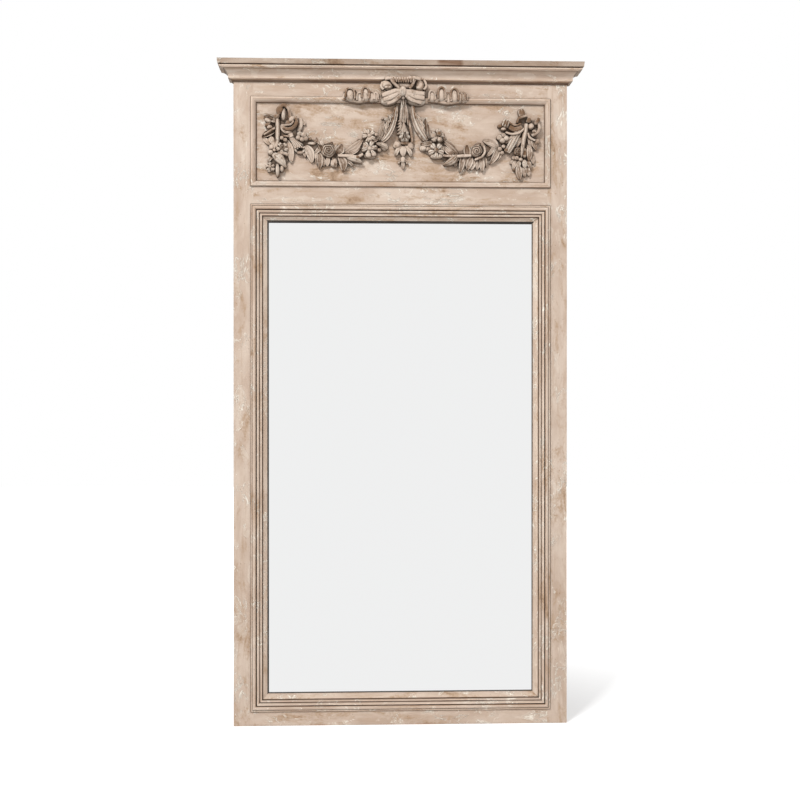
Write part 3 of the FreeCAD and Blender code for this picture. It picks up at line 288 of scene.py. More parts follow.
def limewash(name, grain, shift=0.0, rub=0.5, bands=None, broken=0.45, carved=False):
    """The aged paint, with painted shade in its recesses. grain is the axis the boards run along,
    bands go across it.
    """
    graph = Graph(name)
    along = {"x": (0.38, 1, 1), "z": (1, 1, 0.38)}[grain]
    strict = {"x": (0.06, 1, 1), "z": (1, 1, 0.06)}[grain]
    seed = (shift, shift * 0.7, shift * 1.3)
    wide = graph.stretched(along, seed)
    fine = graph.stretched(strict, seed)
    round_place = graph.stretched((1, 1, 1), seed)

    cloud = graph.noise(wide, 17, 6, 0.66, 0.4)
    colour = graph.mixed(graph.between(cloud, 0.38, 0.62), PAINT["beige"], PAINT["pale"])
    grit = graph.noise(round_place, 170, 5, 0.7)
    patch = graph.noise(wide, 25, 7, 0.7, 0.6)
    patch = graph.maths("ADD", patch, graph.maths("MULTIPLY", grit, 0.22))
    edge = 0.70 - 0.10 * rub
    rubbed = graph.between(patch, edge, edge + 0.10, 0.85)
    colour = graph.mixed(rubbed, colour, PAINT["tan"])
    streak = graph.noise(fine, 120, 5, 0.6)
    colour = graph.mixed(graph.between(streak, 0.52, 0.72, 0.40), colour, PAINT["tan"])
    deep = graph.between(patch, edge + 0.10, edge + 0.17, 0.6)
    colour = graph.mixed(deep, colour, PAINT["brown"])

    # filler spread thin, with a bright broken edge, then cracks
    filler = graph.noise(wide, 24, 5, 0.6, 1.2)
    spread = graph.between(filler, 0.575, 0.62, 0.17)
    colour = graph.mixed(spread, colour, PAINT["chip"])
    rim = graph.maths("ABSOLUTE", graph.maths("SUBTRACT", filler, 0.585), 0)
    rim = graph.between(rim, 0.017, 0.006)
    gaps = graph.between(graph.noise(round_place, 38, 4), 0.50, 0.60)
    crack = graph.noise(wide, 34, 6, 0.6, 1.4)
    line = graph.maths("ABSOLUTE", graph.maths("SUBTRACT", crack, 0.5), 0)
    line = graph.between(line, 0.020, 0.007)
    zone = graph.between(graph.noise(round_place, 12, 3), 0.54, 0.60)
    edges = graph.maths("MULTIPLY", rim, gaps)
    chips = graph.maths("MAXIMUM", edges, graph.maths("MULTIPLY", line, zone))
    colour = graph.mixed(graph.maths("MULTIPLY", chips, 0.85), colour, PAINT["chip"])

    if bands:
        tint = graph.bands(*bands)
        share = graph.between(graph.noise(fine, 60, 6, 0.75), 0.36, 0.56)
        share = graph.maths("ADD", graph.maths("MULTIPLY", share, broken), 1 - broken)
        colour = graph.mixed(share, colour, tint, "MULTIPLY")
    specks = graph.dots(round_place, 95, 0.13, 0.22)
    colour = graph.mixed(graph.maths("MULTIPLY", specks, 0.75), colour, PAINT["brown"])

    if carved:
        colour = graph.mixed(0.35, colour, PAINT["pale"])
        marks = {}
        for mark in ("worn", "crest", "crease"):
            node = graph.nodes.new("ShaderNodeAttribute")
            node.attribute_name = mark
            marks[mark] = node.outputs["Fac"]
        where = graph.between(graph.noise(round_place, 30, 5, 0.7), 0.44, 0.56)
        where = graph.maths("ADD", graph.maths("MULTIPLY", where, 0.65), 0.35)
        share = graph.maths("MINIMUM", graph.maths("MULTIPLY", marks["worn"], where), 0.92)
        colour = graph.mixed(share, colour, PAINT["rubbed"])
        bare = graph.between(graph.noise(round_place, 48, 6, 0.75), 0.53, 0.61, 0.78)
        colour = graph.mixed(bare, colour, PAINT["rubbed"])
        # cream chips on raised points, partly real chipping and partly painted highlights
        rubbed_off = graph.between(grit, 0.36, 0.52)
        crest = graph.maths("MULTIPLY", marks["crest"], rubbed_off)
        colour = graph.mixed(graph.maths("MULTIPLY", crest, 0.85), colour, PAINT["chip"])
        # painted shade in the hollows, on the forms' walls and on the ground between them, partly
        # dark wax
        crease = graph.maths("MULTIPLY", marks["crease"], 0.72)
        colour = graph.mixed(crease, colour, PAINT["wax_and_shade"])
        # painted shade: faces turned downwards are darkened, as if the light from above did not
        # reach them
        facing = graph.nodes.new("ShaderNodeSeparateXYZ")
        normal = graph.nodes.new("ShaderNodeTexCoord").outputs["Normal"]
        graph.links.new(normal, facing.inputs[0])
        down = graph.maths("MULTIPLY", facing.outputs["Z"], -1)
        under = graph.between(down, 0.30, 0.90, 0.62)
        colour = graph.mixed(under, colour, PAINT["underside_shade"])

    # painted shade: ambient occlusion darkens recesses and the gaps between parts towards
    # near-black, partly as dark wax
    hollow = graph.nodes.new("ShaderNodeAmbientOcclusion")
    hollow.samples = 6
    hollow.inputs["Distance"].default_value = CARVED_SHADE_AND_WAX_REACH if carved else SHADE_AND_WAX_REACH
    if carved:
        # on the carving, light occlusion is first browned, partly as dirt and partly as painted
        # shade
        stain = graph.between(hollow.outputs["AO"], 0.90, 0.55, 0.80)
        stain = graph.maths("MULTIPLY", stain, graph.between(grit, 0.34, 0.56))
        colour = graph.mixed(stain, colour, PAINT["rubbed"])
        wax_and_shade = graph.between(hollow.outputs["AO"], 0.60, 0.22, 0.92)
    else:
        wax_and_shade = graph.between(hollow.outputs["AO"], 0.70, 0.25, 0.9)
    colour = graph.mixed(wax_and_shade, colour, PAINT["wax_and_shade"])
    graph.links.new(colour, graph.shader.inputs["Base Color"])
    graph.shader.inputs["Roughness"].default_value = 0.78
    relief = graph.maths("ADD", graph.maths("MULTIPLY", streak, 0.4), spread)
    relief = graph.maths("ADD", relief, graph.maths("MULTIPLY", chips, 0.7))
    relief = graph.maths("ADD", relief, graph.maths("MULTIPLY", grit, 0.5))
    graph.raised(relief, PAINT_RELIEF)
    return graph.material


def dress(names, material):
    """Gives CAD nodes one finish."""
    for name in names:
        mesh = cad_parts[name].data
        mesh.materials.clear()
        mesh.materials.append(material)


dress(["left_stile"], limewash("LimewashLeftStile", "z", 0.0, 0.45))
dress(["right_stile"], limewash("LimewashRightStile", "z", 3.1, 0.75))
dress(["bottom_rail"], limewash("LimewashBottomRail", "x", 5.7, 0.7))
dress(["middle_rail"], limewash("LimewashMiddleRail", "x", 8.3, 0.4))
dress(["top_rail"], limewash("LimewashTopRail", "x", 9.9, 0.7))
dress(["frieze_panel"], limewash("LimewashPanel", "x", 12.4, 0.95))


# Mouldings and slips ----------------------------------------------------------------------
#
# Run softwood mouldings, mitred and glued on. Broken dark lines along their quirks are
# partly wax and partly painted shade, with painted highlights beside them, and the slips
# are blackened towards the glass, partly as painted shadow.

# band tints multiplied over the paint: the dark tint is partly wax and partly painted shade at the
# quirks and steps, and the lightening tint is a painted highlight on the faces beside them
CLEAR = (1, 1, 1)
PAINTED_HIGHLIGHT = (1.16, 1.16, 1.15)
WAX_AND_SHADE_LINE = (0.20, 0.135, 0.09)
RUBBED = (0.60, 0.45, 0.33)
GREYED = (0.78, 0.76, 0.74)
BLACK = (0.03, 0.03, 0.03)
MIRROR_QUIRKS = [
    (0, WAX_AND_SHADE_LINE),
    (0.8, WAX_AND_SHADE_LINE),
    (1.8, PAINTED_HIGHLIGHT),
    (12.6, CLEAR),
    (14.0, RUBBED),
    (15.4, WAX_AND_SHADE_LINE),
    (16.6, WAX_AND_SHADE_LINE),
    (17.6, PAINTED_HIGHLIGHT),
    (22.4, CLEAR),
    (24.0, WAX_AND_SHADE_LINE),
    (25.6, WAX_AND_SHADE_LINE),
    (26.6, PAINTED_HIGHLIGHT),
    (30.2, CLEAR),
    (31.0, WAX_AND_SHADE_LINE),
]
FRIEZE_QUIRKS = [
    (0, WAX_AND_SHADE_LINE),
    (1.0, WAX_AND_SHADE_LINE),
    (1.8, PAINTED_HIGHLIGHT),
    (6.4, CLEAR),
    (7.0, RUBBED),
    (7.8, CLEAR),
    (14.2, CLEAR),
    (15.0, WAX_AND_SHADE_LINE),
    (16.0, WAX_AND_SHADE_LINE),
]
# where the black starts on each slip: black rebate paint, widened as painted shadow, most at the
# top and left
SLIP_BLACKS = {"bottom": 16.0, "top": 11.5, "left": 13.6, "right": 15.8}


def slip_bands(black_from):
    return [
        (0, WAX_AND_SHADE_LINE),
        (1.6, WAX_AND_SHADE_LINE),
        (2.8, PAINTED_HIGHLIGHT),
        (black_from - 1, CLEAR),
        (black_from, BLACK),
        (17.0, BLACK),
    ]


for side_name, black_from in SLIP_BLACKS.items():
    level = side_name in ("bottom", "top")
    grain, axis = ("x", "z") if level else ("z", "x")
    inwards = 1 if side_name in ("bottom", "left") else -1
    corner = 0 if inwards == 1 else 1
    seed = 30 + 3.3 * black_from + 5 * inwards
    for group, wide, stops, broken in (
        ("mirror_moulding", 31, MIRROR_QUIRKS, 0.55),
        ("frieze_moulding", 16, FRIEZE_QUIRKS, 0.45),
        ("sight_slip", 17, slip_bands(black_from), 0.12),
    ):
        node = f"{group}_{side_name}"
        outer = getattr(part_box(node)[corner], axis)
        bands = (axis, outer, inwards, wide, stops)
        title = "Limewash" + node.title().replace("_", "")
        dress([node], limewash(title, grain, seed + wide, 0.55, bands, broken))


# The cornice ------------------------------------------------------------------------------
#
# A flat board over a run crown with a deep hollow. Dark lines of wax and painted shade lie in
# the hollow and under the lip, with painted highlights on the fillets. The ends are darkened
# as painted shade.

# the crown's bands: dark lines partly wax and partly painted shade, the lightening tint a painted
# highlight
CROWN_BANDS = [
    (0, WAX_AND_SHADE_LINE),
    (4.6, WAX_AND_SHADE_LINE),
    (6.4, RUBBED),
    (7.6, PAINTED_HIGHLIGHT),
    (12.0, CLEAR),
    (26.0, CLEAR),
    (30.5, (0.70, 0.66, 0.62)),
    (31.5, WAX_AND_SHADE_LINE),
    (32.8, PAINTED_HIGHLIGHT),
    (37.5, PAINTED_HIGHLIGHT),
    (38.6, WAX_AND_SHADE_LINE),
    (41.0, WAX_AND_SHADE_LINE),
]
crown_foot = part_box("cornice_front")[0].z
crown_bands = ("z", crown_foot, 1, 41, CROWN_BANDS)
dress(
    ["cornice_front"], limewash("LimewashCrown", "x", 24.6, 0.5, crown_bands, 0.25)
)
# the ends take the same bands darkened as painted shade
shaded_return_bands = [(place, tuple(0.6 * part for part in colour)) for place, colour in CROWN_BANDS]
dress(
    ["cornice_return_left", "cornice_return_right"],
    limewash("LimewashShadedReturns", "x", 2.2, 0.8, ("z", crown_foot, 1, 41, shaded_return_bands), 0.2),
)

# its front edge is greyer than the rest, with one brown stain right of the middle
DINGY = (0.66, 0.63, 0.60)
STAINED = (0.30, 0.19, 0.11)
EDGE_STAIN = [
    (0, DINGY),
    (582, DINGY),
    (592, STAINED),
    (648, STAINED),
    (656, DINGY),
    (980, DINGY),
]
board_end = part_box("cornice_board")[0].x
dress(
    ["cornice_board"],
    limewash("LimewashCornice", "x", 21.5, 0.9, ("x", board_end, 1, 980, EDGE_STAIN), 0.35),
)


# The glass --------------------------------------------------------------------------------
#
# One sheet of 4 mm glass, silvered behind. It stands on two softwood blocks, between the
# slips and the backing board.

silver = bpy.data.materials.new("SilveredGlass")
silver.use_nodes = True
shader = silver.node_tree.nodes["Principled BSDF"]
shader.inputs["Base Color"].default_value = (0.865, 0.868, 0.868, 1)
shader.inputs["Metallic"].default_value = 1
shader.inputs["Roughness"].default_value = 0.0
dress(["mirror_glass"], silver)


# Bare wood behind -------------------------------------------------------------------------
#
# The backing board, pegs and setting blocks are unpainted softwood, brown with age.

SOFTWOOD = {
    "winter": (0.205, 0.120, 0.062),
    "summer": (0.345, 0.222, 0.125),
    "stain": (0.110, 0.068, 0.040),
}


def bare_softwood():
    graph = Graph("BareSoftwood")
    rings = graph.noise(graph.stretched((1, 1, 0.06)), 60, 6, 0.6, 0.6)
    share = graph.between(rings, 0.35, 0.65)
    colour = graph.mixed(share, SOFTWOOD["winter"], SOFTWOOD["summer"])
    stain = graph.noise(graph.stretched((1, 1, 0.4)), 5, 4)
    colour = graph.mixed(graph.between(stain, 0.55, 0.75, 0.5), colour, SOFTWOOD["stain"])
    graph.links.new(colour, graph.shader.inputs["Base Color"])
    graph.shader.inputs["Roughness"].default_value = 0.82
    graph.raised(rings, 0.0004)
    return graph.material


dress(["backing_board", "joint_pegs", "setting_blocks"], bare_softwood())


# Nails, straps, rings and screws ----------------------------------------------------------
#
# Dull iron nails hold the backing. The hangers are zinc-plated steel gone grey.


def dull_metal(name, dark, light, rough):
    graph = Graph(name)
    tarnish = graph.noise(graph.place, 160, 4)
    colour = graph.mixed(graph.between(tarnish, 0.4, 0.65), light, dark)
    graph.links.new(colour, graph.shader.inputs["Base Color"])
    graph.shader.inputs["Metallic"].default_value = 1
    graph.shader.inputs["Roughness"].default_value = rough
    return graph.material


dress(
    ["backing_nails"],
    dull_metal("OldIron", (0.052, 0.043, 0.038), (0.110, 0.095, 0.085), 0.62),
)
dress(
    [
        "hanger_strap_left",
        "hanger_strap_right",
        "hanger_ring_left",
        "hanger_ring_right",
        "hanger_screws",
    ],
    dull_metal("GreyZinc", (0.240, 0.235, 0.225), (0.450, 0.440, 0.420), 0.38),
)


# Wall pads --------------------------------------------------------------------------------
#
# Discs of dark pressed felt, glued to the back of the stiles. They keep the frame off the
# wall.

felt = Graph("DarkFelt")
fibres = felt.noise(felt.place, 900, 3)
nap = felt.between(fibres, 0.35, 0.65)
felt_colour = felt.mixed(nap, (0.022, 0.019, 0.016), (0.060, 0.053, 0.046))
felt.links.new(felt_colour, felt.shader.inputs["Base Color"])
felt.shader.inputs["Roughness"].default_value = 0.95
felt.raised(fibres, 0.0004)
dress(["wall_pads"], felt.material)


# The centre pendant -----------------------------------------------------------------------
#
# Carved in one piece of limewood and glued to the panel: leaves, a fruit, a three-lobed
# leaf and a bud. Plans are in millimetres from the middle and top of the frieze opening,
# with heights above the panel.

OPENING_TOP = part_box("top_rail")[0].z
PANEL_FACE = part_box("frieze_panel")[0].y
CARVED = limewash("LimewashCarving", "x", 27.0, 0.35, carved=True)


THINNEST = 0.4
SHARP_EDGE = math.radians(52)


def on_line(start, direction, along, across):
    """The point so far along a line and so far to its left."""
    ux, uy = direction
    return start[0] + ux * along - uy * across, start[1] + uy * along + ux * across


def heading(start, stop):
    """The direction and the length from one point to another."""
    dx, dy = stop[0] - start[0], stop[1] - start[1]
    length = math.hypot(dx, dy) or 1
    return (dx / length, dy / length), length


class Carving:
    """Forms laid over one another until they make one carved piece.

    Each point is x, y, height and how much of its paint is rubbed off down to brown."""

    def __init__(self, name, node, up=-1.5):
        self.name = name
        self.node = node
        self.up = up
        self.points = []
        self.faces = []
        self.marks = {"worn": [], "crest": [], "crease": []}

    def mark(self, worn, crest, crease):
        for name, value in (("worn", worn), ("crest", crest), ("crease", crease)):
            self.marks[name].append(value)

    def surface(self, rows, closed=False):
        """A net of points with a wall down to the panel. closed joins each row's ends."""
        start = len(self.points)
        wide = len(rows[0])
        for i, row in enumerate(rows):
            below, above = rows[max(i - 2, 0)], rows[min(i + 2, len(rows) - 1)]
            for j, (x, y, height, worn) in enumerate(row):
                if closed:
                    left, right = row[j - 2], row[(j + 2) % wide]
                else:
                    left, right = row[max(j - 2, 0)], row[min(j + 2, wide - 1)]
                round_about = (left[2] + right[2] + below[j][2] + above[j][2]) / 4
                proud = height - round_about
                # crest marks raised points for cream chips that also serve as painted highlights
                crest = min(1.0, max(0.0, (proud - 0.25) / 1.3))
                # crease marks hollows for painted shade, partly wax
                crease = min(1.0, max(0.0, (-proud - 0.15) / 0.9))
                self.points.append((x, y, max(height, THINNEST)))
                self.mark(worn, crest, crease)
        for i in range(len(rows) - 1):
            low = start + i * wide
            high = low + wide
            for j in range(wide if closed else wide - 1):
                k = (j + 1) % wide
                self.faces.append((low + j, high + j, high + k, low + k))
        top_row = start + (len(rows) - 1) * wide
        if closed:
            self.faces.append(tuple(start + j for j in range(wide)))
            rim = [top_row + j for j in range(wide)]
        else:
            bottom = [start + j for j in range(wide)]
            right = [start + i * wide + wide - 1 for i in range(1, len(rows))]
            top = [top_row + j for j in range(wide - 2, -1, -1)]
            left = [start + i * wide for i in range(len(rows) - 2, 0, -1)]
            rim = (bottom + right + top + left)[::-1]
        self.wall(rim)

    def wall(self, rim):
        """Closes a form from its rim down to the panel."""
        base = len(self.points)
        for index in rim:
            x, y, _ = self.points[index]
            self.points.append((x, y, 0))
            # the walls down to the panel are marked for full painted shade
            self.mark(0.0, 0.0, 1.0)
        count = len(rim)
        for i in range(count):
            k = (i + 1) % count
            self.faces.append((rim[i], base + i, base + k, rim[k]))
        self.faces.append(tuple(base + count - 1 - i for i in range(count)))

    def ground(self, outline, height=4.5):
        """A dark ground left between the forms, marked for painted shade."""
        following = outline[1:] + outline[:1]
        turn = sum(a[0] * b[1] - b[0] * a[1] for a, b in zip(outline, following))
        if turn < 0:
            outline = outline[::-1]
        count = len(outline)
        start = len(self.points)
        for level in (height, 0):
            for x, y in outline:
                self.points.append((x, y, level))
                self.mark(0.0, 0.0, 0.9)
        self.faces.append(tuple(range(start, start + count)))
        self.faces.append(tuple(start + 2 * count - 1 - i for i in range(count)))
        for i in range(count):
            k = (i + 1) % count
            self.faces.append((start + k, start + i, start + count + i, start + count + k))

    def leaf(self, start, stop, width, height, bend=0, hollow=0.25, brown=0.0, lobes=0):
        """A leaf from its stalk to its tip, with raised edges and a rib."""
        direction, length = heading(start, stop)
        long_steps = max(12, int(length / 2), lobes * 7)
        rows = []
        for i in range(long_steps + 1):
            u = i / long_steps
            half = width / 2 * math.sin(math.pi * (0.04 + 0.93 * u) ** 0.85) ** 0.7
            half = max(half, 0.35)
            if lobes:
                half *= 1 + 0.18 * math.cos(2 * math.pi * lobes * u)
            side = bend * 4 * u * (1 - u)
            crown = height * (0.62 + 0.38 * math.sin(math.pi * min(1, 0.15 + u * 0.8)))
            row = []
            for j in range(11):
                v = j / 5 - 1
                s = abs(v)
                level = crown * (1 - hollow * (1 - s**2.2)) * (1 - 0.18 * s**6)
                level += 0.11 * crown * math.exp(-((v / 0.16) ** 2))
                if lobes:
                    level += 0.06 * height * math.cos(2 * math.pi * (lobes * u - s)) * s
                place = on_line(start, direction, length * u, side + v * half)
                row.append((*place, level, brown * (1 - 0.8 * s**3) * (0.45 + 0.55 * u)))
            rows.append(row)
        self.surface(rows)

    def leaves(self, *rows):
        """Rows of x and y of stalk and tip, width, height, bend, hollow, brown, lobes."""
        for x, y, tip_x, tip_y, *rest in rows:
            self.leaf((x, y), (tip_x, tip_y), *rest)

    def rounds(self, centre, radius, rings, steps, outline, level, brown=0.0):
        """A round form: outline gives its radius at an angle, level its height."""
        rows = []
        for i in range(1, rings + 1):
            r = i / rings
            row = []
            for j in range(steps):
                angle = 2 * math.pi * j / steps
                reach = radius * outline(angle) * r
                x = centre[0] + reach * math.cos(angle)
                y = centre[1] + reach * math.sin(angle)
                row.append((x, y, level(r, angle), brown * (1 - 0.35 * r)))
            rows.append(row)
        self.surface(rows, closed=True)

    def berry(self, centre, radius, height, brown=0.0, flutes=0, long=1.0, turn=0.0):
        """A berry, bud or fruit: a dome, sometimes fluted or drawn out one way."""
        turn = math.radians(turn)

        def outline(angle):
            across = math.sin(angle - turn)
            stretch = 1 / math.sqrt(across**2 + ((1 - across**2) / long**2))
            return stretch * (1 + 0.05 * math.cos(flutes * angle) * bool(flutes))

        def level(r, angle):
            dome = math.sqrt(max(0.0, 1 - (0.98 * r) ** 2.4))
            groove = 0.08 * r * math.cos(flutes * angle) * bool(flutes)
            return height - radius * 1.25 * (1 - dome) + height * groove

        self.rounds(centre, radius, 7, 30 if flutes else 18, outline, level, brown)

    def berries(self, *rows):
        """Rows of x, y, radius, height, brown."""
        for x, y, *rest in rows:
            self.berry((x, y), *rest)

    def flower(self, centre, radius, petals, height, turn=17, heart=0.3, brown=0.0):
        """Open petals with clefts between them, round a small heart."""
        turn_by = math.radians(turn)

        def lobe(angle):
            return abs(math.cos(petals * (angle - turn_by) / 2))

        def outline(angle):
            return 0.68 + 0.32 * lobe(angle) ** 0.55

        def level(r, angle):
            cupped = 0.58 + 0.42 * math.sin(math.pi * (0.10 + 0.74 * r))
            cleft = 0.55 * (1 - lobe(angle)) ** 1.6 * r
            crease = 0.10 * r * (lobe(angle) > 0.975)
            return height * (cupped - cleft - crease)

        self.rounds(centre, radius, 10, petals * 12, outline, level, brown)
        if heart:
            self.berry(centre, radius * heart, height * 1.06, brown=brown)

    def rose(self, centre, radius, height, turns=3.1, brown=0.0):
        """Petals wound in a spiral round a tight heart."""

        def outline(angle):
            return 1 + 0.05 * math.cos(5 * angle + 0.6)

        def level(r, angle):
            wound = (r * turns - angle / (2 * math.pi)) % 1
            ridge = (1 - wound) ** 1.3 if wound > 0.16 else wound / 0.16 * 0.8
            dome = 0.60 + 0.30 * (1 - r**2.4)
            return height * (dome + 0.20 * (ridge - 0.45))

        self.rounds(centre, radius, 24, 48, outline, level, brown)

    def shell(self, centre, size, turn, height, brown=0.0, flutes=0, hollow=None):
        """A puffed fold of ribbon. hollow is (along, across, reach, depth) of a dent."""
        turn = math.radians(turn)

        def outline(angle):
            c, s = math.cos(angle - turn), math.sin(angle - turn)
            return 1 / (abs(c * 2 / size[0]) ** 2.3 + abs(s * 2 / size[1]) ** 2.3) ** (1 / 2.3)

        def level(r, angle):
            reach = outline(angle) * r
            along = reach * math.cos(angle - turn)
            across = reach * math.sin(angle - turn)
            dome = max(0.0, 1 - r**2.6) ** 0.5
            rise = height - min(size) * 0.62 * (1 - dome)
            wave = math.cos(flutes * 2 * math.pi * across / size[1]) * bool(flutes)
            rise += 0.08 * height * wave * (1 - r**4)
            if hollow:
                a, b, wide, deep = hollow
                far = ((along - a) ** 2 + (across - b) ** 2) / wide**2
                rise -= height * deep * math.exp(-(far**1.5))
            return rise

        self.rounds(centre, 1.0, 12, 36, outline, level, brown)

    def shells(self, *rows):
        """Rows of x, y, length, width, turn, height, brown, flutes."""
        for x, y, length, width, *rest in rows:
            self.shell((x, y), (length, width), *rest)

    def ribbon(self, places, ridges=0, brown=0.0, tilt=0.0):
        """A band through places of (x, y, width, height), smooth between them."""
        stations = []
        steps = 7
        for index in range(len(places) - 1):
            before = places[max(index - 1, 0)]
            first, second = places[index], places[index + 1]
            after = places[min(index + 2, len(places) - 1)]
            for step in range(steps + (index == len(places) - 2)):
                t = step / steps
                station = []
                for a, b, c, d in zip(before, first, second, after):
                    curve = (2 * a - 5 * b + 4 * c - d) * t**2
                    curve += (3 * b - a - 3 * c + d) * t**3
                    station.append(0.5 * (2 * b + (c - a) * t + curve))
                stations.append(station)
        net = []
        for index, (x, y, width, height) in enumerate(stations):
            ahead = stations[min(index + 1, len(stations) - 1)]
            behind = stations[max(index - 1, 0)]
            direction, _ = heading(behind, ahead)
            row = []
            for j in range(11):
                v = j / 5 - 1
                arch = math.sqrt(max(0.0, 1 - (0.96 * v) ** 2))
                level = height * (1 + tilt * v) - width * 0.34 * (1 - arch)
                level += 0.09 * height * math.cos(ridges * math.pi * v) * bool(ridges)
                place = on_line((x, y), direction, 0, width / 2 * v)
                row.append((*place, level, brown))
            net.append(row)
        self.surface(net)

    def bell(self, start, stop, narrow, wide, height, frill=5):
        """A bell flower or husk that opens towards its toothed mouth."""
        direction, length = heading(start, stop)
        rows = []
        for i in range(17):
            u = i / 16
            half = (narrow + (wide - narrow) * u**1.6) / 2
            row = []
            for j in range(21):
                v = j / 10 - 1
                flute = math.cos(frill * math.pi * v)
                reach = length * u * (1 + 0.12 * flute * u**3)
                arch = math.sqrt(max(0.0, 1 - (0.95 * v) ** 2))
                level = height * (0.6 + 0.4 * u) * (0.35 + 0.65 * arch + 0.08 * flute * u)
                place = on_line(start, direction, reach, half * v)
                row.append((*place, level, 0.5 * (flute < -0.3) * u))
            rows.append(row)
        self.surface(rows)

    def fix(self):
        """Makes the mesh, upright on the panel, and stands it for its solid."""
        mesh = bpy.data.meshes.new(self.name)
        upright = []
        for x, y, height in self.points:
            up = OPENING_TOP + (y + self.up) / 1000
            upright.append((x / 1000, PANEL_FACE - height / 1000, up))
        mesh.from_pydata(upright, [], self.faces)
        for name, values in self.marks.items():
            layer = mesh.attributes.new(name, "FLOAT", "POINT")
            layer.data.foreach_set("value", values)
        mesh.materials.append(CARVED)
        mesh.polygons.foreach_set("use_smooth", [True] * len(mesh.polygons))
        mesh.set_sharp_from_angle(angle=SHARP_EDGE)
        piece = bpy.data.objects.new(self.name, mesh)
        bpy.context.scene.collection.objects.link(piece)
        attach(piece, "frame")
        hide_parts(self.node)


pendant = Carving("CentrePendant", "centre_pendant")
# the long fluted stalk under the knot
pendant.ribbon([(6, 2, 13, 19), (6, -20, 17, 19), (5, -42, 22, 17), (4, -58, 24, 14)], ridges=3)
pendant.leaves(
    (7, -4, 0, -62, 7, 19, -2, -0.1),
    (9, -4, 18, -66, 8, 18, 2, -0.1),
)
# curled leaf tips down its left side, and on the right one long leaf browned as painted shade for
# its shadowed side
for tip_y in (-54, -62, -70, -78, -87):
    pendant.leaf((2, tip_y + 8), (-12, tip_y - 3), 7, 17, bend=3, hollow=0.1)
pendant.ribbon([(20, -52, 6, 15), (25, -75, 7, 15), (28, -95, 7, 14), (29, -112, 6, 12)], brown=0.7)
pendant.bell((6, -52), (8, -88), 6, 26, 21)
pendant.berry((9, -98), 15.5, 25, flutes=6, brown=0.35)
for turn in (-8, 0, 8):
    pendant.leaf((9 + turn * 0.3, -86), (9 + turn, -106), 6, 25, hollow=-0.2)
# painted shadow: a dark brown fold under the fruit
pendant.shell((10, -113), (28, 12), 0, 15, brown=1.5)
# round leaves beside the fruit, the lobed leaf and the last bud
pendant.berry((5, -158), 6.5, 14, long=1.6, turn=90)
pendant.ground(
    [
        (0, -8), (12, -8), (24, -60), (28, -112), (20, -140), (5, -148), (-10, -138),
        (-8, -112), (-6, -50),
    ],
)
pendant.shells(
    (-11, -118, 24, 19, 55, 18),
    (25, -121, 22, 16, 110, 16, 0.3),
)
pendant.leaves(
    (5, -122, 5, -150, 18, 17, 0, 0.1),
    (3, -122, -16, -149, 15, 15, -4, 0.15, 0, 1),
    (8, -122, 27, -149, 15, 15, 4, 0.15, 0, 1),
    (3, -152, -7, -168, 6, 11),
    (7, -152, 17, -168, 6, 11),
    (5, -160, 5, -184, 9, 12, 0, 0.25, 0.8),
)
pendant.berries(
    (-6, -166, 3.6, 10, 0.9),
    (15, -166, 3.6, 10, 0.9),
)
pendant.fix()


# The bow ----------------------------------------------------------------------------------
#
# A ribbon bow carved from a thicker block, let over the top moulding and up against the
# crown: two hollow loops, a pleated fold between them, a knot and two drooping lobes.

bow = Carving("Bow", "bow", up=-4)
bow.ground(
    [
        (-46, 44), (-42, 58), (48, 59), (60, 50), (64, 14), (50, -4), (20, 2), (5, 12),
        (-10, 0), (-40, -4), (-50, 10),
    ],
    12,
)
# the pleated fold along the top
bow.ribbon(
    [
        (-44, 57, 9, 27), (-30, 60, 10, 29), (4, 57, 10, 30), (36, 61, 10, 29), (54, 56, 9, 27),
    ],
)
for count in range(9):
    across = -20 + 6.4 * count
    bow.ribbon(
        [
            (across, 48, 4, 29), (across * 1.03, 55, 5, 31), (across * 1.05, 62, 4, 29),
        ],
        brown=0.7,
    )
bow.ribbon([(-18, 42, 16, 22), (5, 41, 20, 23), (28, 42, 15, 22)])
# left loop
bow.shell((-38, 41), (34, 27), -35, 29, hollow=(4, -5, 7, 0.12))
bow.ribbon([(-28, 57, 7, 29), (-22, 48, 7, 31), (-12, 38, 7, 31), (-4, 30, 7, 28)], brown=0.6)
bow.ribbon([(-50, 50, 6, 25), (-54, 38, 7, 26), (-48, 30, 7, 25)])
bow.shell((-36, 35), (18, 8), 0, 31)
# right loop
bow.shell((50, 43), (34, 27), 100, 28, hollow=(5, 7, 8, 0.30))
bow.ribbon([(56, 59, 6, 28), (64, 50, 6, 28), (66, 38, 6, 27), (60, 30, 6, 26)])
bow.ribbon([(36, 56, 6, 27), (30, 44, 7, 29), (22, 32, 7, 29)], brown=0.4)
bow.shell((48, 28), (24, 6), 0, 21, brown=1.3)
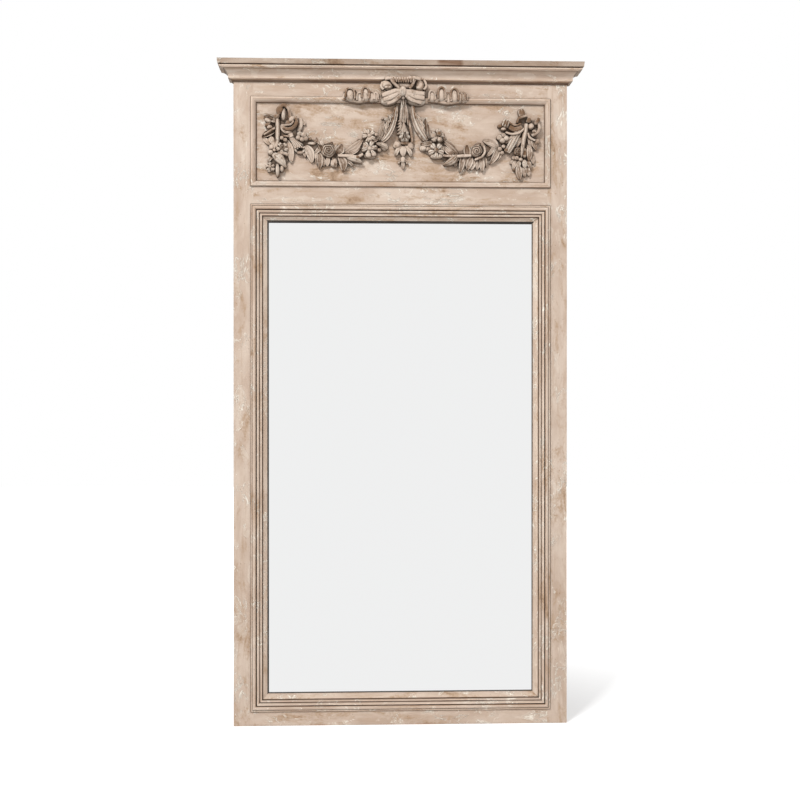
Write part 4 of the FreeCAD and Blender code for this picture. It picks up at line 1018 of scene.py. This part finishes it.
# drooping lobes, gathered into the knot
bow.shells(
    (-33, 5, 48, 32, 8, 23),
    (40, 4, 54, 32, -4, 23),
)
for lobe in (
    [(0, 27, 8, 30), (-16, 26, 12, 29), (-34, 20, 14, 27), (-52, 14, 12, 24)],
    [(0, 23, 8, 30), (-14, 16, 12, 29), (-30, 8, 14, 28), (-48, 3, 12, 23)],
    [(2, 20, 8, 30), (-8, 9, 11, 28), (-20, 0, 12, 26), (-38, -6, 11, 20)],
    [(8, 26, 8, 30), (26, 24, 12, 29), (44, 20, 13, 27), (62, 20, 12, 24)],
    [(9, 23, 8, 30), (26, 15, 12, 29), (42, 10, 14, 28), (62, 8, 13, 24)],
    [(8, 20, 8, 30), (18, 9, 11, 28), (32, 1, 12, 26), (54, -4, 11, 20)],
):
    bow.ribbon(lobe)
for start, stop, wide in (
    ((-4, 20), (-24, 5), 6),
    ((-10, 24), (-30, 15), 5),
    ((-14, 28), (-44, 24), 6),
    ((14, 18), (34, 5), 6),
    ((16, 24), (40, 16), 5),
    ((-6, 8), (-34, -10), 5),
    ((16, 6), (48, -10), 5),
):
    bow.leaf(start, stop, wide, 28, hollow=0.2, brown=1.6)
bow.leaves(
    (-52, 28, -40, 12, 10, 27, 2, 0.25, 0.9),
    (58, 27, 52, 8, 8, 28, -2, 0.25, 0.4),
)
# the knot
bow.berry((4, 25), 11, 34, long=1.4, turn=90)
for side in (-5, 0, 5):
    bow.ribbon(
        [
            (4 + side * 0.6, 12, 3, 30), (4 + side, 25, 4, 35), (4 + side * 0.6, 37, 3, 30),
        ],
        brown=0.3,
    )
bow.berry((5, 10), 6, 25, long=1.2, turn=90)
bow.fix()


# Ribbon tails -----------------------------------------------------------------------------
#
# The bow's two ends run out level along the top moulding, crumpled into round folds.

FOLD_RIM = 5

left_tail = Carving("RibbonTailLeft", "ribbon_tail_left", up=-2.5)
right_tail = Carving("RibbonTailRight", "ribbon_tail_right", up=-2.5)


def arched_fold(tail, foot_left, top, foot_right, relief, brown):
    """One upright fold: a full round body and the ribbon's edge over it."""
    (ax, ay), (tx, ty), (bx, by) = foot_left, top, foot_right
    wide, tall = bx - ax, ty - min(ay, by)
    tail.shell(((ax + bx) / 2, ty - tall / 2 - 1), (tall + 4, wide), 90, relief)
    rim = [(ax + 1, ay + tall * 0.2), (ax + wide * 0.14, ty - tall * 0.2), (tx, ty - 2)]
    rim += [(bx - wide * 0.14, ty - tall * 0.26), (bx - 1, by + tall * 0.15)]
    tail.ribbon([(x, y, FOLD_RIM, relief + 1) for x, y in rim], brown=brown)


left_tail.ribbon([(-60, 9, 24, 19), (-90, 8, 26, 20), (-112, 8, 28, 20), (-150, 9, 24, 15)])
# the tail's lower edge, browned as painted shadow beneath it
left_tail.ribbon(
    [
        (-62, 1, 8, 18), (-90, 0, 8, 19), (-112, -3, 10, 20), (-146, 1, 8, 15),
    ],
    brown=0.6,
)
arched_fold(left_tail, (-151, 1), (-137, 33), (-123, -2), 24, 1.2)
left_tail.leaf((-121, -6), (-124, 28), 9, 23, bend=-2, brown=1.2)
arched_fold(left_tail, (-120, -6), (-111, 21), (-101, -6), 23, 0.2)
arched_fold(left_tail, (-107, -2), (-96, 35), (-84, -1), 26, 0.8)
arched_fold(left_tail, (-89, -2), (-79, 24), (-70, -3), 24, 0.2)
arched_fold(left_tail, (-75, -2), (-68, 21), (-61, -2), 23, 0.1)
left_tail.shells(
    (-152, 12, 22, 11, 70, 15),
    (-153, 2, 11, 7, 0, 16, 1.4),
)
left_tail.leaf((-146, 4), (-155, 24), 7, 17, bend=-2)
left_tail.fix()

right_tail.ribbon(
    [
        (72, 9, 24, 18), (96, 8, 24, 19), (124, 6, 30, 20), (150, 7, 26, 19), (176, 8, 20, 14),
    ],
)
# the tail's lower edge, browned as painted shadow beneath it
right_tail.ribbon(
    [
        (72, 0, 8, 17), (96, -1, 8, 18), (124, -5, 10, 20), (150, -2, 9, 18), (174, 1, 8, 14),
    ],
    brown=0.6,
)
arched_fold(right_tail, (73, -2), (82, 28), (93, -2), 23, 0.2)
arched_fold(right_tail, (88, -3), (95, 20), (102, -3), 22, 0.5)
arched_fold(right_tail, (97, -1), (108, 37), (119, 1), 26, 0.8)
right_tail.berry((118, 8), 6, 24, brown=0.2)
arched_fold(right_tail, (119, -6), (127, 23), (135, -6), 23, 0.3)
arched_fold(right_tail, (131, -4), (143, 34), (155, -4), 25, 0.8)
arched_fold(right_tail, (151, -3), (158, 26), (165, -3), 22, 0.4)
arched_fold(right_tail, (161, -3), (167, 25), (173, -3), 21, 0.6)
arched_fold(right_tail, (168, -1), (174, 23), (179, -1), 19, 0.6)
right_tail.fix()


# The left swag ----------------------------------------------------------------------------
#
# A garland of leaves, two open flowers and a rose, carved through in limewood.

left_swag = Carving("SwagLeft", "swag_left")
left_swag.ground(
    [
        (-276, -92), (-262, -90), (-246, -108), (-210, -116), (-180, -124), (-150, -140),
        (-112, -118), (-98, -86), (-74, -84), (-60, -104), (-46, -112), (-50, -132),
        (-78, -150), (-104, -156), (-140, -166), (-180, -172), (-220, -168), (-242, -148),
        (-284, -134), (-300, -98),
    ],
)
# long leaves that rise beside the pendant
left_swag.ribbon(
    [
        (-52, -109, 10, 14), (-40, -98, 15, 18), (-27, -76, 15, 19), (-18, -48, 13, 18),
        (-15, -28, 12, 16), (-13, -14, 7, 12),
    ],
    ridges=2,
    tilt=-0.12,
)
left_swag.ribbon([(-27, -60, 5, 18), (-18, -38, 6, 18), (-15, -18, 5, 15)], brown=1.0)
left_swag.leaves(
    (-17, -30, -42, -100, 11, 21, -8, 0.1, 0, 5),
    (-58, -110, -33, -43, 17, 18, -7, 0.5, 1.2),
    (-62, -108, -49, -46, 13, 15, -4, 0.35, 0.5),
    (-66, -106, -55, -68, 9, 13, -2, 0.25, 0.6),
)
left_swag.berry((-50, -48), 3.8, 14, brown=1.0)
# the nearer flowers
left_swag.flower((-86, -95), 19, 5, 18, turn=40, heart=0.32, brown=0.25)
left_swag.flower((-85, -130), 22, 6, 21, turn=10, heart=0.3)
left_swag.berries(
    (-67, -92, 5.5, 18, 0.9),
    (-96, -86, 6, 17, 0.3),
    (-84, -104, 6, 19),
    (-96, -127, 8, 23),
    (-75, -128, 7, 22),
    (-88, -148, 8.5, 23),
    (-74, -145, 7.5, 21),
    (-59, -133, 6, 17),
)
left_swag.leaves(
    (-78, -112, -62, -104, 8, 16, 0, 0.25, 0.5),
    (-68, -116, -38, -132, 12, 19, 4, -0.1),
)
left_swag.shells(
    (-84, -148, 34, 18, 0, 15, 0.4),
    (-48, -122, 28, 22, -35, 17),
)
# leaves between the flowers and the rose
left_swag.ribbon(
    [
        (-170, -149, 7, 17), (-140, -150, 9, 19), (-118, -152, 8, 18), (-103, -144, 7, 16),
    ],
)
left_swag.leaves(
    (-152, -142, -104, -104, 21, 13, -4, 0.35, 0.7),
    (-150, -146, -108, -124, 11, 14, -4, 0.3),
    (-140, -128, -112, -102, 10, 10, 0, 0.25, 0.8),
    (-112, -122, -124, -144, 8, 11, 0, 0.25, 0.8),
    (-146, -154, -104, -168, 18, 17, 3, -0.2),
    (-148, -158, -128, -176, 12, 14, 0, 0.25, 0, 1),
    (-150, -153, -140, -170, 8, 15, 0, 0.25, 0.4),
    (-176, -142, -159, -117, 24, 17, -5, 0.5, 1.5),
    (-180, -136, -172, -116, 7, 14, 0, 0.1),
    (-172, -140, -152, -132, 8, 15, 0, 0.25, 0.9),
    (-166, -150, -156, -191, 22, 18, 6, 0.35, 1.3),
    (-184, -154, -176, -182, 10, 17, 3),
    (-196, -152, -199, -178, 13, 14, 0, 0.25, 0.2),
)
left_swag.berry((-117, -153), 5, 21, brown=1.3)
left_swag.shell((-180, -167), (26, 22), 80, 15, flutes=2)
# the rose and the leaves on its far side
left_swag.rose((-195, -136), 18, 23, turns=3.4)
left_swag.leaves(
    (-206, -120, -184, -112, 9, 16, -2, 0.25, 1.2),
    (-207, -122, -228, -100, 10, 15, 3, 0.25, 0.9),
    (-209, -124, -218, -106, 9, 16, 0, 0.1),
    (-210, -118, -238, -106, 8, 12, 0, 0.25, 0.7),
    (-222, -118, -206, -157, 14, 19, 5, 0.5, 1.5),
    (-216, -126, -234, -148, 13, 15, 0, 0.3, 0, 1),
    (-222, -140, -219, -184, 17, 17, 3, 0.4, 1.1),
    (-212, -150, -207, -178, 11, 15, 0, 0.3, 0.9),
    (-228, -140, -227, -172, 8, 14, 0, 0.1),
    (-238, -132, -229, -158, 12, 10, 0, 0.6, 1.4),
    (-256, -122, -239, -167, 23, 15, 4, 0.35),
    (-260, -128, -256, -154, 9, 12, -2),
)
left_swag.shell((-240, -116), (24, 9), -3, 11)
# berries, and the bell flower at the far end
left_swag.ribbon([(-304, -64, 12, 12), (-300, -84, 14, 13), (-294, -100, 14, 15)])
left_swag.bell((-301, -94), (-274, -127), 12, 28, 19)
left_swag.shell((-272, -134), (30, 18), -5, 19, hollow=(0, 2, 9, 0.75), brown=0.6)
left_swag.berries(
    (-272, -92, 8, 18, 0.9),
    (-261, -95, 8.5, 21),
    (-276, -102, 7, 20, 0.2),
    (-256, -104, 7, 19, 0.5),
    (-266, -106, 7, 20, 0.3),
    (-245, -104, 4.5, 13, 1),
)
for tooth in range(5):
    left_swag.berry((-283 + 5.4 * tooth, -129 + 1.6 * (2 - abs(tooth - 2))), 2.9, 21)
left_swag.shell((-271, -141), (18, 10), 0, 15, brown=1.0)
left_swag.fix()


# The right swag ---------------------------------------------------------------------------
#
# The same garland the other way round, with the carver's small differences.

right_swag = Carving("SwagRight", "swag_right")
right_swag.ground(
    [
        (60, -104), (78, -92), (98, -76), (118, -96), (150, -134), (176, -128), (204, -118),
        (230, -118), (262, -112), (292, -104), (304, -112), (280, -140), (240, -152),
        (220, -166), (180, -170), (140, -164), (110, -156), (84, -152), (60, -134), (54, -118),
    ],
)
right_swag.ribbon(
    [
        (30, -13, 7, 12), (31, -30, 11, 16), (36, -52, 15, 18), (46, -76, 18, 18),
        (60, -98, 15, 17), (68, -108, 10, 13),
    ],
    ridges=2,
    tilt=0.12,
)
right_swag.ribbon([(33, -16, 6, 15), (34, -32, 7, 18), (37, -48, 5, 19)], brown=1.5)
right_swag.leaves(
    (35, -30, 60, -100, 11, 21, 8, 0.1, 0, 5),
    (68, -106, 54, -47, 15, 17, 5, 0.45, 1),
    (72, -104, 65, -46, 11, 16, 3, 0.4, 0.9),
    (77, -100, 73, -63, 11, 14, 1, 0.35, 0.8),
    (84, -112, 52, -114, 13, 18, 3, 0.25, 1.3),
)
right_swag.shells(
    (60, -126, 22, 18, 20, 14, 0.1),
    (73, -127, 16, 17, 0, 13, 0.4),
)
# the nearer flowers
right_swag.flower((98, -94), 20, 5, 16, turn=10, heart=0, brown=0.2)
right_swag.flower((94, -134), 22, 5, 21, turn=54, heart=0, brown=0.15)
right_swag.shell((95, -149), (34, 15), 2, 20, hollow=(0, 3, 6, 0.3), brown=0.5)
right_swag.berries(
    (102, -88, 8, 21, 1.2),
    (86, -94, 7.5, 19, 0.3),
    (104, -104, 7.5, 20),
    (90, -105, 5.5, 17, 0.8),
    (94, -133, 7, 24, 2),
)
right_swag.leaves(
    (112, -86, 116, -108, 7, 13, 2, 0.25, 0.5),
    (78, -122, 84, -140, 9, 19, 0, 0.25, 0.9),
    (110, -120, 112, -142, 9, 19, 0, 0.25, 0.6),
)
# leaves between the flowers and the rose
right_swag.ribbon([(112, -146, 6, 15), (138, -149, 7, 18), (162, -148, 8, 19), (188, -146, 8, 17)])
right_swag.leaves(
    (116, -104, 156, -142, 10, 14, 4, 0.3, 0.9),
    (116, -112, 154, -146, 10, 16, 2, 0.3, 0.3),
    (114, -122, 148, -148, 14, 15, -3, 0.3),
    (150, -146, 114, -172, 21, 20, 5, -0.1, 1.9),
    (158, -149, 128, -175, 15, 15, -2),
    (164, -150, 158, -191, 15, 18, 2, 0.4, 1),
    (148, -156, 146, -178, 9, 13, 0, 0.25, 0.4),
    (178, -147, 177, -117, 19, 18, 0, 0.45, 1.7),
    (178, -150, 167, -180, 15, 14, -2, 0.3, 0.2),
    (190, -150, 178, -184, 17, 16, 0, 0.4, 0.4),
)
# the rose and the leaves on its far side
right_swag.rose((203, -135), 17, 23, turns=2.8, brown=0.25)
right_swag.ribbon([(222, -120, 5, 17), (225, -136, 6, 20), (216, -150, 6, 21), (198, -158, 6, 18)])
right_swag.leaves(
    (196, -120, 216, -113, 9, 16, 2, 0.25, 1.1),
    (202, -158, 187, -183, 17, 15, 0, 0.3, 0, 1),
    (210, -156, 204, -184, 13, 16, 0, 0.3, 0.4),
    (216, -152, 219, -189, 15, 17, 0, 0.35),
    (224, -148, 229, -176, 11, 15, 0, 0.35, 0.3),
    (262, -126, 221, -103, 24, 13, -5, 0.3, 0.5),
    (256, -124, 226, -112, 10, 15, -3, 0.1),
    (262, -122, 239, -168, 17, 15, 4, 0.45, 0.3),
    (268, -126, 253, -160, 14, 14, 3, 0.4, 0.4),
    (252, -120, 230, -148, 11, 14, 2, 0.3),
)
# berries, and the leaves that climb to the nail
right_swag.ribbon(
    [
        (327, -66, 14, 12), (314, -86, 20, 15), (300, -112, 23, 17), (286, -136, 18, 15),
    ],
    ridges=3,
)
right_swag.berries(
    (266, -97, 8.5, 18, 0.2),
    (276, -91, 7, 19, 0.5),
    (283, -99, 8.5, 20),
    (273, -105, 8.5, 19, 0.2),
    (266, -128, 6.5, 18, 0.5),
    (276, -121, 6, 17),
    (283, -131, 5.5, 18, 1.1),
    (272, -138, 6, 17, 0.3),
)
right_swag.leaves(
    (312, -78, 280, -112, 11, 18, 3, 0.2),
    (318, -84, 290, -142, 9, 19, -3, 0.3, 0.4),
)
right_swag.fix()


# The left drop ----------------------------------------------------------------------------
#
# Ribbon loops round a nail, over a bunch of flowers and buds that hangs straight down.

left_drop = Carving("DropLeft", "drop_left")
left_drop.ground(
    [
        (-336, -50), (-326, -26), (-304, -24), (-292, -50), (-280, -64), (-292, -80),
        (-308, -84), (-300, -116), (-302, -160), (-318, -186), (-350, -188), (-352, -130),
        (-362, -104), (-350, -78), (-362, -56),
    ],
)
# the upper loop
left_drop.ribbon(
    [
        (-325, -40, 8, 17), (-330, -30, 10, 20), (-323, -20, 10, 22), (-313, -16, 9, 22),
        (-303, -24, 8, 22), (-298, -40, 8, 22), (-297, -54, 8, 19),
    ],
    brown=0.9,
)
left_drop.shells(
    (-313, -40, 40, 26, 95, 15, 1.2),
    (-323, -29, 20, 15, 80, 22, 1.6),
    (-334, -45, 19, 15, 20, 19, 1.2),
)
left_drop.leaves(
    (-315, -56, -312, -22, 11, 22, 1, -0.1),
    (-304, -54, -304, -28, 7, 17, 0, 0.25, 1.6),
)
# the left loop and the ribbon's end
left_drop.ribbon([(-344, -51, 4, 14), (-356, -51, 4, 15), (-368, -48, 4, 13)], brown=2)
left_drop.ribbon([(-338, -77, 5, 19), (-350, -84, 5, 20), (-368, -95, 4, 16)], brown=0.3)
left_drop.shells(
    (-355, -44, 26, 12, -8, 20, 1.7, 2),
    (-357, -56, 20, 13, -35, 18),
    (-358, -67, 16, 9, 20, 16, 1.3),
    (-352, -74, 15, 12, 0, 18),
)
left_drop.leaves(
    (-336, -58, -352, -52, 12, 16, 0, 0.3),
    (-338, -82, -373, -100, 17, 18, -1, 0.5, 1.9),
    (-369, -102, -349, -122, 12, 13),
    (-352, -98, -341, -122, 17, 14, 0, 0.1),
)
# the right loop
left_drop.ribbon(
    [
        (-284, -46, 8, 20), (-280, -60, 9, 21), (-288, -74, 10, 22), (-302, -80, 10, 21),
        (-316, -74, 9, 18),
    ],
    brown=1.3,
)
left_drop.ribbon([(-288, -58, 4, 23), (-296, -68, 5, 24), (-313, -70, 5, 21)], brown=0.4)
left_drop.ribbon([(-275, -84, 12, 8), (-270, -64, 14, 11), (-271, -48, 10, 9)])
left_drop.shells(
    (-296, -62, 36, 34, 30, 16, 1.6),
    (-293, -53, 20, 15, 60, 23, 0.1),
)
left_drop.leaf((-270, -52), (-256, -66), 12, 10, hollow=0.4)
# the stalk and the nearer leaves
left_drop.ribbon(
    [
        (-331, -52, 10, 16), (-331, -80, 12, 18), (-331, -105, 11, 17), (-333, -128, 9, 13),
    ],
    ridges=1,
)
left_drop.ribbon([(-316, -97, 5, 13), (-303, -98, 5, 15), (-291, -96, 4, 13)], brown=0.9)
left_drop.leaves(
    (-322, -66, -304, -92, 17, 15, 0, 0.15),
    (-310, -106, -295, -168, 20, 13, 5, 0.3),
    (-338, -110, -346, -138, 15, 15, 0, 0.15),
)
left_drop.shell((-303, -87), (15, 9), 10, 17)
left_drop.berries(
    (-320, -103, 6, 18, 0.3),
    (-311, -108, 6, 18, 0.8),
)
# the flowers and buds
left_drop.flower((-319, -130), 17, 5, 18, turn=50, heart=0)
left_drop.rose((-318, -127), 10, 23, turns=2.2, brown=0.4)
left_drop.flower((-351, -180), 13, 5, 14, turn=20, heart=0.35)
left_drop.berry((-331, -201), 4.8, 15, long=1.4, turn=90, brown=1.6)
left_drop.berry((-320, -185), 5.5, 16, long=1.7, turn=88)
left_drop.shells(
    (-318, -144, 30, 11, -5, 18),
    (-347, -127, 18, 15, 90, 15),
    (-312, -176, 14, 9, -60, 14, 0.6),
)
left_drop.berries(
    (-307, -147, 5, 17),
    (-350, -142, 8, 20),
    (-340, -136, 5, 17),
    (-354, -190, 5, 12, 0.3),
    (-342, -186, 5, 14),
)
left_drop.leaves(
    (-344, -145, -310, -180, 26, 18, 4, -0.1),
    (-336, -148, -318, -172, 8, 20, 2, 0.1),
    (-346, -150, -357, -166, 12, 12, 0, 0.25, 0, 1),
    (-331, -172, -331, -207, 11, 17, 0, -0.15),
)
left_drop.fix()


# The right drop ---------------------------------------------------------------------------
#
# The pair to the left drop. Its loops are more open and its bunch hangs closer.

right_drop = Carving("DropRight", "drop_right")
right_drop.ground(
    [
        (316, -54), (318, -30), (336, -28), (344, -46), (366, -50), (372, -76), (362, -104),
        (368, -126), (350, -132), (354, -166), (344, -190), (316, -190), (304, -168),
        (304, -140), (318, -108), (322, -84), (296, -86), (274, -76), (268, -60), (290, -54),
        (306, -64),
    ],
)
# the upper loop
right_drop.ribbon(
    [
        (313, -57, 5, 14), (316, -46, 6, 18), (326, -42, 6, 21), (338, -38, 6, 19),
    ],
    brown=0.8,
)
right_drop.shells(
    (326, -31, 28, 21, 105, 20, 1.4, 2),
    (344, -50, 17, 12, 60, 18, 1.3),
)
# the left loop, like a boat with its rim turned out
right_drop.ribbon([(292, -66, 15, 14), (307, -74, 17, 15), (325, -69, 17, 17)], brown=2)
right_drop.ribbon([(281, -83, 5, 17), (299, -88, 6, 20), (318, -84, 6, 21), (331, -73, 5, 19)])
right_drop.ribbon([(290, -56, 4, 18), (306, -64, 4, 18), (322, -60, 4, 19)], brown=0.9)
right_drop.shells(
    (282, -59, 26, 22, 70, 21, 1.5, 3),
    (266, -66, 13, 10, 0, 16, 1.3),
    (276, -74, 14, 9, 0, 18),
)
# the right loop
right_drop.ribbon(
    [
        (371, -58, 7, 15), (373, -72, 8, 17), (366, -84, 8, 17), (352, -91, 9, 15),
    ],
    brown=0.5,
)
right_drop.ribbon([(342, -84, 5, 16), (347, -97, 6, 17), (362, -104, 5, 15)])
right_drop.shells(
    (367, -52, 24, 12, 60, 18, 1.7),
    (350, -66, 20, 17, 40, 17),
    (360, -80, 14, 11, 0, 18, 1.3),
    (368, -107, 13, 18, -20, 16, 1),
)
right_drop.leaves(
    (354, -98, 366, -130, 15, 14, 0, 0.4, 0.6),
    (344, -96, 350, -126, 12, 14, 2, 0.3),
)
# the stalk and the flowers
right_drop.ribbon(
    [
        (338, -60, 12, 18), (334, -85, 13, 18), (330, -105, 12, 17), (328, -128, 10, 14),
    ],
    ridges=1,
)
right_drop.rose((316, -134), 12, 22, turns=2.3, brown=0.9)
right_drop.shell((333, -138), (28, 14), 85, 17, hollow=(0, 0, 6, 0.3), brown=2)
right_drop.leaves(
    (326, -96, 312, -124, 12, 14, -3, 0.2),
    (326, -116, 324, -152, 8, 20, 0, 0),
    (344, -116, 345, -160, 16, 18, 2, 0.2, 0.5),
    (350, -134, 358, -168, 12, 13, 0, 0.3, 0.4),
)
right_drop.berries(
    (304, -151, 6, 17, 0.5),
    (312, -152, 6.5, 19, 0.2),
    (322, -156, 6, 19),
)
# the leaves and buds at the foot
right_drop.leaves(
    (308, -155, 294, -167, 10, 12),
    (314, -156, 302, -182, 13, 14, -2),
    (320, -158, 314, -180, 12, 17, 0, 0.1),
    (332, -156, 334, -180, 14, 17, 0, 0.1),
    (342, -158, 350, -180, 12, 15, 0, 0.25, 0.3),
    (316, -170, 320, -209, 18, 17, 0, 0.3, 1),
    (331, -174, 334, -202, 13, 15, 0, 0.3, 0.4),
    (341, -174, 346, -200, 11, 13, 0, 0.3),
)
right_drop.berry((305, -182), 4, 12, brown=1.2)
right_drop.fix()
